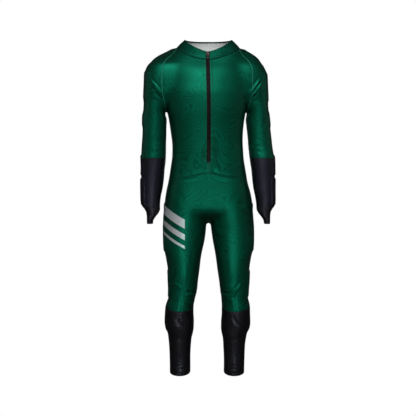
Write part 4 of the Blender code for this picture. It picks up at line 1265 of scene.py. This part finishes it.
TAPE_SINK = 0.0006
TAPE_COLUMNS = 5
TAPE_TUCK = 1.06            # how far the tape runs on under the fronts' edges
TOOTH_PITCH = 0.0018
TOOTH_SIZE = (0.0032, 0.0011, 0.0014)   # across the zip, along it, out of it
TOOTH_SWING = 0.0009
TEETH_START = 0.006         # above the tape's lower end
STOP_PITCH = 0.004
STOP_END = 0.001
STOP_SIZE = (0.0052, 0.0036, 0.0026)
TAPE_THICKNESS = 0.0005
TWILL_WIDTH = 0.0024
TWILL_PITCH = 0.0012
TWILL_DEPTH = 0.00004


def slanted_threads(tree, width, pitch):
    """Threads that cross a strip in slants which turn back at every width, from -1 to 1."""
    across, down = flat_place(tree)
    return waves(tree, work_out(tree, "ADD", down, work_out(tree, "PINGPONG", across, width)), pitch)


def woven_tape(name, dark, light):
    """Woven tape with a fine herringbone along it."""
    made, tree, shader = finish_of(name, 0.7, Specular_IOR_Level=0.15)
    twill = slanted_threads(tree, TWILL_WIDTH, TWILL_PITCH)
    share = ramp(tree, twill, 0.0, 1.0, -1.0, 1.0)
    surface(tree, shader, mix_colour(tree, share, dark, light), twill, TWILL_DEPTH)
    return made


def grained(name, roughness, scale, dark, light, detail=2.0, margin=0.3, depth=0.0, **sockets):
    """A hard or spun material whose colour and surface are a little uneven."""
    made, tree, shader = finish_of(name, roughness, **sockets)
    share = clouds(tree, object_place(tree), scale, detail, margin)
    colour = mix_colour(tree, share, dark, light)
    if depth:
        surface(tree, shader, colour, share, depth)
    else:
        tree.links.new(colour, shader.inputs["Base Color"])
    return made


def blocks(name, centres, across, along, out, size, finish, roundness=0.25):
    """Many small moulded blocks in one mesh, each tapering towards its outer face."""
    half = np.array(size) / 2
    pattern = np.array([(x, y, z) for z in (-1, 1) for x, y in ((-1, -1), (1, -1), (1, 1), (-1, 1))], float)
    pattern[4:, :2] *= 1 - roundness
    x, y, z = np.split((pattern * half)[None], 3, axis=-1)
    corners = centres[:, None] + x * across[:, None] + y * along[:, None] + z * out[:, None]
    sides = np.array([(3, 2, 1, 0), (4, 5, 6, 7), (0, 1, 5, 4), (1, 2, 6, 5), (2, 3, 7, 6), (3, 0, 4, 7)])
    faces = (np.arange(len(centres)) * 8)[:, None, None] + sides[None]
    mesh = bpy.data.meshes.new(name)
    mesh.from_pydata(corners.reshape(-1, 3).tolist(), [], faces.reshape(-1, 4).tolist())
    mesh.materials.append(finish)
    body = bmesh.new()
    body.from_mesh(mesh)
    bmesh.ops.recalc_face_normals(body, faces=body.faces)
    body.to_mesh(mesh)
    body.free()
    return put_in_scene(name, mesh)


def evenly(path, normals, pitch, start=0.0, end=0.0):
    """Places at an even pitch along a path, with the ways across, along and out of the cloth there."""
    gone = np.concatenate([[0.0], np.cumsum(np.linalg.norm(np.diff(path, axis=0), axis=-1))])
    wanted = np.arange(start + pitch / 2, gone[-1] - end, pitch)
    at, out = [np.stack([np.interp(wanted, gone, column) for column in values.T], axis=-1)
               for values in (path, normals)]
    out = unit(out)
    along = np.gradient(at, axis=0)
    along = unit(along - out * np.sum(along * out, axis=-1, keepdims=True))
    return at, np.cross(along, out), along, out


def stood(places, *ways):
    """Places and directions of the upright form as the suit stands."""
    turn = np.radians(look_up(STANCE_CURVES, places[:, 2])[1])
    return [stance(places), *[turned(way, turn) for way in ways]]


def zip_grid():
    """The left half of the tape: rows from the zip's foot to the collar's top, and the way out."""
    edge = front_half[FOOT_ROWS + 1:, 0]
    middle = middle_line(edge[:, 2], -1)
    band = np.concatenate([collar_rows(np.array([0.0])),
                           collar_rows(np.array([ZIP_EDGE_ANGLE]), ZIP_HALF_WIDTH)], axis=1)
    middle[-1] = band[0, 0]
    share = (np.linspace(0, 1, TAPE_COLUMNS + 1) * TAPE_TUCK)[None, :, None]
    below = middle[:, None] * (1 - share) + edge[:, None] * share
    above = band[1:, :1] * (1 - share) + band[1:, 1:] * share
    collar_ways = np.repeat(collar_normals(band)[1:, :1], TAPE_COLUMNS + 1, axis=1)
    return np.concatenate([below, above]), np.concatenate([outward(below), collar_ways])


tape_cloth = woven_tape("black woven zip tape", (0.0030, 0.0015, 0.0018), (0.0070, 0.0045, 0.0050))
tooth_plastic = grained("black moulded teeth", 0.45, 400.0, (0.005, 0.0025, 0.003), (0.009, 0.005, 0.006),
                        Specular_IOR_Level=0.12)
zip_points, zip_out = zip_grid()
for side, turn_over in HANDS:
    sunk = turn_over(zip_points - zip_out * TAPE_SINK)
    tape = sew("zip_tape_cloth_" + side, sunk, tape_cloth, tape_cloth, normals=turn_over(zip_out),
               thickness=TAPE_THICKNESS)
    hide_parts("zip_tape_" + side)
    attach(tape, "suit")
centre_path = zip_points[:, 0] - zip_out[:, 0] * TAPE_SINK
tooth_at, tooth_across, tooth_along, tooth_out = evenly(centre_path, zip_out[:, 0], TOOTH_PITCH, TEETH_START)
swing = np.where(np.arange(len(tooth_at)) % 2, 1.0, -1.0)[:, None]
tooth_at = tooth_at + tooth_across * swing * TOOTH_SWING + tooth_out * TOOTH_SIZE[2] / 2
teeth = blocks("zip_teeth", *stood(tooth_at, tooth_across, tooth_along, tooth_out), TOOTH_SIZE, tooth_plastic)
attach(teeth, "suit")
stop_at = [values[:1] for values in evenly(centre_path, zip_out[:, 0], STOP_PITCH, STOP_END)]
stop = blocks("zip_bottom_stop", *stood(*stop_at), STOP_SIZE, tooth_plastic)
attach(stop, "suit")


# SLIDER AND PULL TAB
# A small painted metal slider sits at the top of the closed zip. Its bridge holds the bar of a
# moulded tab, which swings up and down on it.

SLIDER_HEIGHT = -0.0375
SLIDER_CLEARANCE = 0.0006
SLIDER_THICKNESS = 0.004
PLATE_THICKNESS = 0.0016
# Across and up from the slider's middle, round its left half from the top
SLIDER_OUTLINE = ((0.0012, 0.0058), (0.0026, 0.0070), (0.0046, 0.0066), (0.0055, 0.0050),
                  (0.0055, 0.0006), (0.0046, -0.0040), (0.0034, -0.0066), (0.0014, -0.0070))
LOWER_PLATE_WIDTH = 0.9      # beside the upper plate's
LOWER_PLATE_HEIGHT = 0.96
LOWER_PLATE_FACE = -0.0016
FLANGE_WIDTH = 0.0010
FLANGE_STEP = 0.0004
SLIDER_EDGE = 0.0004
GRAIN_DEPTH = 0.00002
BRIDGE_WIDTH = 0.0024
BRIDGE_RISE = 0.0044
BRIDGE_BAR = 0.0014
# Up and out from the bridge's middle, along its bar
BRIDGE_PATH = ((0.0033, 0.0010), (0.0033, -0.0014), (0.0029, -0.0029), (0.0018, -0.0037), (0.0, -0.0037),
               (-0.0018, -0.0037), (-0.0029, -0.0029), (-0.0033, -0.0014), (-0.0033, 0.0010))
PULL_THICKNESS = 0.0016
PULL_EDGE = 0.0003
# Across and up from the hinge, round the tab's left half from the top, outside and inside
PULL_OUTLINE = ((0.0000, 0.0008), (0.0022, 0.0008), (0.0032, 0.0000), (0.0034, -0.0014),
                (0.0034, -0.0060), (0.0032, -0.0100), (0.0031, -0.0190), (0.0029, -0.0216),
                (0.0018, -0.0229), (0.0000, -0.0232))
PULL_WINDOW = ((0.0000, -0.0008), (0.0012, -0.0008), (0.0017, -0.0012), (0.0018, -0.0022),
               (0.0018, -0.0050), (0.0018, -0.0056), (0.0017, -0.0061), (0.0013, -0.0065),
               (0.0006, -0.0066), (0.0000, -0.0066))
PULL_RIB_HEIGHTS = (-0.0110, -0.0128, -0.0146, -0.0164, -0.0182)
PULL_RIB_SIZE = (0.0042, 0.0007, 0.0004)


def bevelled(name, body, finish, frame, width):
    """A finished object from a bmesh, with rounded edges."""
    bmesh.ops.recalc_face_normals(body, faces=body.faces)
    mesh = bpy.data.meshes.new(name)
    body.to_mesh(mesh)
    body.free()
    mesh.materials.append(finish)
    made = put_in_scene(name, mesh)
    made.matrix_world = frame
    rounding = made.modifiers.new("rounding", "BEVEL")
    rounding.width = width
    rounding.segments = 3
    rounding.limit_method = "ANGLE"
    made.modifiers.new("shading", "WEIGHTED_NORMAL")
    return made


def slab(body, outline, front, rear):
    """A plate with an outline across and up, between two distances out."""
    rings = [[body.verts.new((x, y, z)) for x, z in outline] for y in (front, rear)]
    body.faces.new(rings[0])
    body.faces.new(rings[1][::-1])
    for at in range(len(outline)):
        after = (at + 1) % len(outline)
        body.faces.new((rings[0][at], rings[1][at], rings[1][after], rings[0][after]))


def bar_along(body, path, width, thickness):
    """A flat bar of even width along a path up and out."""
    path = np.array(path)
    run = unit(np.gradient(path, axis=0))
    sideways = np.stack([-run[:, 1], run[:, 0]], axis=-1) * thickness / 2
    rings = []
    for (z, y), (dz, dy) in zip(path, sideways):
        rings.append([body.verts.new((x, y + sign * dy, z + sign * dz))
                      for x, sign in ((-width / 2, -1), (width / 2, -1), (width / 2, 1), (-width / 2, 1))])
    for near, far in zip(rings[:-1], rings[1:]):
        for at in range(4):
            after = (at + 1) % 4
            body.faces.new((near[at], near[after], far[after], far[at]))
    body.faces.new(rings[0][::-1])
    body.faces.new(rings[-1])


def whole_outline(half):
    """A closed outline from its left half, without a second point on the middle line."""
    return half + tuple((-x, z) for x, z in half[::-1] if x != 0)


zip_line = stance(collar_rows(np.array([0.0])))[:, 0]
up_collar = (SLIDER_HEIGHT - zip_line[0, 2]) / (zip_line[-1, 2] - zip_line[0, 2])
lean = math.atan2(zip_line[-1, 1] - zip_line[0, 1], zip_line[-1, 2] - zip_line[0, 2])
leaning = Matrix.Rotation(-lean, 4, "X")
seat = Matrix.Translation(zip_line[0] + (zip_line[-1] - zip_line[0]) * up_collar) @ leaning
slider_face = -SLIDER_CLEARANCE - SLIDER_THICKNESS
upper_plate = whole_outline(SLIDER_OUTLINE)
slider_body = bmesh.new()
slab(slider_body, upper_plate, slider_face, slider_face + PLATE_THICKNESS)
lower_plate = [(x * LOWER_PLATE_WIDTH, z * LOWER_PLATE_HEIGHT) for x, z in upper_plate]
slab(slider_body, lower_plate, LOWER_PLATE_FACE, -SLIDER_CLEARANCE)
for hand in (-1, 1):
    flange = [(hand * x, z) for x, z in SLIDER_OUTLINE[3:6]]
    flange += [(x - hand * FLANGE_WIDTH, z) for x, z in flange[::-1]]
    slab(slider_body, flange, slider_face + FLANGE_STEP, -SLIDER_CLEARANCE)
bar_along(slider_body, [(z, slider_face + y) for z, y in BRIDGE_PATH], BRIDGE_WIDTH, BRIDGE_BAR)
bronze = grained("dark bronze paint on metal", 0.38, 700.0, (0.024, 0.012, 0.010), (0.042, 0.024, 0.020),
                 4.0, 0.35, GRAIN_DEPTH, Metallic=0.7)
slider = bevelled("zip_slider_body", slider_body, bronze, seat, SLIDER_EDGE)
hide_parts("zip_slider")
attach(slider, "suit")

hinge = seat @ Vector((0, slider_face - (BRIDGE_RISE - BRIDGE_BAR) / 2, 0))
pull_frame = Matrix.Translation(hinge) @ leaning
pull_body = bmesh.new()
loops = [whole_outline(PULL_OUTLINE), whole_outline(PULL_WINDOW)]
faces_out = [[[pull_body.verts.new((x, y, z)) for x, z in loop] for loop in loops]
             for y in (-PULL_THICKNESS / 2, PULL_THICKNESS / 2)]
(outer_front, inner_front), (outer_rear, inner_rear) = faces_out
count = len(loops[0])
for at in range(count):
    after = (at + 1) % count
    pull_body.faces.new((outer_front[at], outer_front[after], inner_front[after], inner_front[at]))
    pull_body.faces.new((outer_rear[after], outer_rear[at], inner_rear[at], inner_rear[after]))
    pull_body.faces.new((outer_front[after], outer_front[at], outer_rear[at], outer_rear[after]))
    pull_body.faces.new((inner_front[at], inner_front[after], inner_rear[after], inner_rear[at]))
tab_black = grained("black moulded tab", 0.55, 1500.0, (0.008, 0.006, 0.007), (0.014, 0.011, 0.012), 3.0,
                    depth=GRAIN_DEPTH, Specular_IOR_Level=0.2)
pull = bevelled("zip_pull_tab", pull_body, tab_black, pull_frame, PULL_EDGE)
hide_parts("zip_pull")
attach(pull, "pull")
rib_at = np.array([(0.0, side * PULL_THICKNESS / 2, z) for z in PULL_RIB_HEIGHTS for side in (-1, 1)])
axes = [np.tile(axis, (len(rib_at), 1)) for axis in ((1.0, 0, 0), (0, 0, 1.0), (0, 1.0, 0))]
ribs = blocks("zip_pull_ribs", rib_at, *axes, PULL_RIB_SIZE, tab_black, 0.1)
ribs.matrix_world = pull_frame
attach(ribs, "pull")


# SEAMS
# Flat-locked seams join the panels: a ribbon of thread a few millimetres wide covers each edge.
# The raglan seams are sewn in green thread painted lighter, a painted highlight along their raised
# ribbons; the edges of the black pieces in black, and the rest in the green of the cloth.

RIBBON_OFFSETS = (-1.0, -0.6, 0.0, 0.6, 1.0)
RIBBON_RISES = (-0.00010, 0.00026, 0.00034, 0.00026, -0.00010)
RIBBON_HALF_WIDTH = 0.0018
RIBBON_THICKNESS = 0.0004
THREAD_PITCH = 0.0016
THREAD_DEPTH = 0.00006


def thread(name, dark, light, tint):
    """Zigzag covering thread: stitches cross the seam in pairs of slants."""
    made, tree, shader = finish_of(name, 0.50, Specular_IOR_Level=0.7, Specular_Tint=tint)
    slants = slanted_threads(tree, RIBBON_HALF_WIDTH, THREAD_PITCH)
    share = ramp(tree, slants, 0.0, 1.0, -0.8, 0.8)
    surface(tree, shader, mix_colour(tree, share, dark, light), slants, THREAD_DEPTH)
    return made


def flatlock(name, path, finish, pads=(), closed=False):
    """A ribbon of covering stitches along a path on the form."""
    run = np.gradient(path, axis=0)
    if closed:
        run = np.gradient(np.concatenate([path[-1:], path, path[:2]]), axis=0)[1:-1]
        path = np.concatenate([path, path[:1]])
    normals = outward(path)
    across = unit(np.cross(normals, run))
    offsets = np.array(RIBBON_OFFSETS)[None, :, None] * RIBBON_HALF_WIDTH
    ways = np.repeat(normals[:, None], len(RIBBON_OFFSETS), axis=1)
    points = drape(path[:, None] + across[:, None] * offsets, ways, all_folds, pads)
    points = points + ways * np.array(RIBBON_RISES)[None, :, None]
    ribbon = sew(name, points, finish, finish, normals=ways, thickness=RIBBON_THICKNESS)
    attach(ribbon, "suit")


GREEN_TINT = (0.03, 0.95, 0.56, 1.0)
BLACK_TINT = (0.25, 0.27, 0.32, 1.0)
green_thread = thread("green covering thread", (0.0006, 0.026, 0.014), (0.0012, 0.050, 0.027), GREEN_TINT)
# Its lighter colour is a painted highlight along the raglan seams' ribbons
highlight_painted_thread = thread("green covering thread painted light as a highlight", (0.0120, 0.120, 0.070), (0.0260, 0.200, 0.125),
                      GREEN_TINT)
black_thread = thread("black covering thread", (0.0020, 0.0020, 0.0026), (0.0070, 0.0070, 0.0095),
                      BLACK_TINT)
all_folds = FRONT_CREASES + BACK_CREASES + SLEEVE_CREASES + LEG_CREASES + SHIN_CREASES
raglan_front = raglan(RAGLAN_FRONT, RAGLAN_FRONT_ANGLE)
raglan_back = raglan(RAGLAN_BACK, RAGLAN_BACK_ANGLE)
# Name, path on the wearer's left, thread, slot, pads, whether the path is closed
PAIRED_SEAMS = (
    ("raglan_seam_front_", raglan_front, highlight_painted_thread, "green_cloth", (), False),
    ("raglan_seam_back_", raglan_back, highlight_painted_thread, "green_cloth", (), False),
    ("side_seam_", back_half[:LOW_ROWS + 1, -1], green_thread, "green_cloth", (), False),
    ("leg_side_seam_", leg_front_grid[:, -1], green_thread, "green_cloth", LEG_PADS, False),
    ("inseam_", leg_front_grid[PELVIS_ROWS:, 0], green_thread, "green_cloth", LEG_PADS, False),
    ("underarm_seam_", sleeve_grid[:, 0], green_thread, "green_cloth", ARM_PADS, False),
    ("forearm_seam_", forearm_grid[:, 0], black_thread, "black_cloth", ARM_PADS, False),
    ("shin_seam_", shin_grid[:, 0], black_thread, "black_cloth", LEG_PADS, False),
    ("elbow_seam_", forearm_grid[0], black_thread, "black_cloth", ARM_PADS, True),
    ("wrist_seam_", gaiter_grid[0], black_thread, "black_cloth", ARM_PADS, True),
    ("knee_seam_", shin_grid[0], black_thread, "black_cloth", LEG_PADS, True),
)
for name, path, finish, slot, pads, closed in PAIRED_SEAMS:
    for side, turn_over in HANDS:
        flatlock(name + side, turn_over(path), finish, pads, closed)
for name, path in (("waist_seam_front", whole(front_half[None, 0])[0]),
                   ("waist_seam_back", whole(back_half[None, 0])[0]),
                   ("centre_seam_front", leg_front_grid[:PELVIS_ROWS + 1, 0]),
                   ("centre_seam_back", leg_back_grid[:PELVIS_ROWS + 1, 0])):
    flatlock(name, path, green_thread)


# STITCHING
# Rows of lockstitch hold down the folded hems, the zip's facings and the collar. Each stitch is a
# short grain of thread, and bar tacks hold the closed fronts below the zip.

STITCH_PITCH = 0.0030
STITCH_SIZE = (0.0006, 0.0023, 0.0005)
HEM_COLUMNS = 72
ANKLE_STITCH_RISES = (0.010, 0.014)
WRIST_STITCH_RISE = 0.006
FACING_STITCH_ACROSS = (0.0108, 0.0160)     # from the suit's middle plane
NECK_ROW_SHARE = 0.9        # of the way up the collar's first row of faces
BOUND_ROW = (0.0005, 0.0028)                # out of the collar, and down it from its top edge
TACK_COLUMN_ROWS = 12
TACK_COLUMN_ACROSS = 0.0045
TACK_COLUMN_MARGIN = 0.004
TACK_HEIGHTS = (-0.476, -0.484, -0.492, -0.500, -0.508)
TACK_SIZE = (0.0090, 0.0014, 0.0008)


def stitches(name, path, finish, creases=(), pads=(), normals=None):
    """A row of stitches along a path on the cloth.

    A path that comes with its normals lies on the cloth already.
    """
    if normals is None:
        normals = outward(path)
        path = drape(path, normals, creases, pads)
    row = blocks(name, *stood(*evenly(path, normals, STITCH_PITCH)), STITCH_SIZE, finish)
    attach(row, "suit")


def hem_path(sections, heights):
    """A closed path round a limb, at a height or at one for every point."""
    path = ring(sections, heights, HEM_COLUMNS)[0]
    return np.concatenate([path, path[:1]])


def spun_thread(name, dark, light):
    """Spun thread, slightly uneven."""
    return grained(name, 0.6, 500.0, dark, light, Specular_IOR_Level=0.3)


green_sewing = spun_thread("green sewing thread", (0.0030, 0.060, 0.034), (0.0080, 0.110, 0.064))
pale_sewing = spun_thread("pale green sewing thread", (0.0200, 0.140, 0.085), (0.0300, 0.190, 0.120))
black_sewing = spun_thread("black sewing thread", (0.0120, 0.0120, 0.0150), (0.0240, 0.0240, 0.0290))
facing_heights = front_half[FOOT_ROWS + 1:-2, 0, 2]
tack_heights = np.linspace(ZIP_BOTTOM - TACK_COLUMN_MARGIN, WAIST_FRONT + TACK_COLUMN_MARGIN,
                           TACK_COLUMN_ROWS)
for side, turn_over in HANDS:
    for row, rise in enumerate(ANKLE_STITCH_RISES):
        ankle = turn_over(hem_path(LEG, (hem_heights(HEM_COLUMNS) + rise)[None]))
        stitches("ankle_stitches_%s_%d" % (side, row + 1), ankle, black_sewing, shin_folds)
    for name, height in (("wrist_stitches_", WRIST_SEAM), ("gaiter_stitches_", GAITER_TIP)):
        wrist = turn_over(hem_path(ARM, height + WRIST_STITCH_RISE))
        stitches(name + side, wrist, black_sewing, pads=ARM_PADS)
    for row, (across, sewing) in enumerate(zip(FACING_STITCH_ACROSS, (pale_sewing, green_sewing))):
        beside = turn_over(middle_line(facing_heights, -1, across))
        stitches("facing_stitches_%s_%d" % (side, row + 1), beside, sewing, FRONT_CREASES)
    tack = turn_over(middle_line(tack_heights, -1, TACK_COLUMN_ACROSS))
    stitches("tack_column_" + side, tack, green_sewing, FRONT_CREASES)
tack_at = middle_line(np.array(TACK_HEIGHTS), -1)
tack_out = outward(tack_at)
tack_at = drape(tack_at, tack_out, FRONT_CREASES)
tack_across = np.tile((1.0, 0.0, 0.0), (len(tack_at), 1))
tacks = blocks("bar_tacks", *stood(tack_at, tack_across, np.cross(tack_out, tack_across), tack_out),
               TACK_SIZE, pale_sewing)
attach(tacks, "suit")
neck_row = collar_points[0] + (collar_points[1] - collar_points[0]) * NECK_ROW_SHARE
stitches("collar_stitches", neck_row, green_sewing, normals=collar_out[1])
bound_row = top_edge + top_out * BOUND_ROW[0] + top_down * BOUND_ROW[1]
stitches("binding_stitches", bound_row, green_sewing, normals=top_out)


# STUDIO
# A plain pale floor and a white surround, soft lights before and behind the suit, and the camera
# straight in front of it.

scene = bpy.context.scene
scene.view_settings.view_transform = "Standard"
scene.view_settings.look = "None"

FLOOR_HEIGHT = -1.47
floor_corners = [(x, y, FLOOR_HEIGHT) for x, y in ((-6, -6), (6, -6), (6, 6), (-6, 6))]
floor_mesh = bpy.data.meshes.new("floor")
floor_mesh.from_pydata(floor_corners, [], [(0, 1, 2, 3)])
floor = put_in_scene("floor", floor_mesh)
floor_mesh.materials.append(finish_of("pale floor", 0.9, Emission_Strength=1.0, Specular_IOR_Level=0.0,
                                      Emission_Color=(1.0, 1.0, 1.0, 1.0),
                                      Base_Color=(0.0, 0.0, 0.0, 1.0))[0])
floor.visible_diffuse = False
floor.visible_glossy = False

SURROUND_GLOW = 0.05        # its strength as a light, while the camera sees it at 1
world = bpy.data.worlds.new("studio")
scene.world = world
world.use_nodes = True
world_tree = world.node_tree
surround = world_tree.nodes["Background"]
surround.inputs["Color"].default_value = (1.0, 1.0, 1.0, 1.0)
seen = world_tree.nodes.new("ShaderNodeLightPath").outputs["Is Camera Ray"]
world_tree.links.new(ramp(world_tree, seen, SURROUND_GLOW, 1.0), surround.inputs["Strength"])

# Name, place, what it is aimed at, width, height, power, how wide it spreads in degrees
LIGHTS = (
    ("front_softbox", (0.0, -2.6, 1.8), (0.0, 0.0, -0.4), 1.0, 0.8, 88.0, 180),
    ("front_low_softbox", (0.0, -3.2, -1.5), (0.0, 0.0, -1.15), 0.5, 0.9, 2.2, 34),
    ("back_softbox", (0.0, 3.2, 0.0), (0.0, 0.0, -0.5), 1.0, 1.2, 60.0, 180),
    ("left_softbox", (3.2, 0.0, 0.2), (0.0, 0.0, -0.6), 0.9, 1.3, 4.0, 180),
    ("right_softbox", (-3.2, 0.0, 0.2), (0.0, 0.0, -0.6), 0.9, 1.3, 4.0, 180),
)
for name, where, aim, width, height, power, spread in LIGHTS:
    lamp = bpy.data.lights.new(name, "AREA")
    lamp.shape = "RECTANGLE"
    lamp.size = width
    lamp.size_y = height
    lamp.energy = power
    lamp.spread = math.radians(spread)
    light = put_in_scene(name, lamp)
    light.location = where
    light.rotation_euler = (Vector(aim) - Vector(where)).to_track_quat("-Z", "Y").to_euler()

CAMERA_DISTANCE = 2.7
CAMERA_DIP = 4.447          # degrees below the level
camera = put_in_scene("camera", bpy.data.cameras.new("camera"))
camera.data.sensor_width = 36.0
camera.data.lens = 55.63
camera.location = (-0.0013, -CAMERA_DISTANCE, -0.4532)
camera.rotation_euler = (math.radians(90 - CAMERA_DIP), 0.0, 0.0)
scene.camera = camera
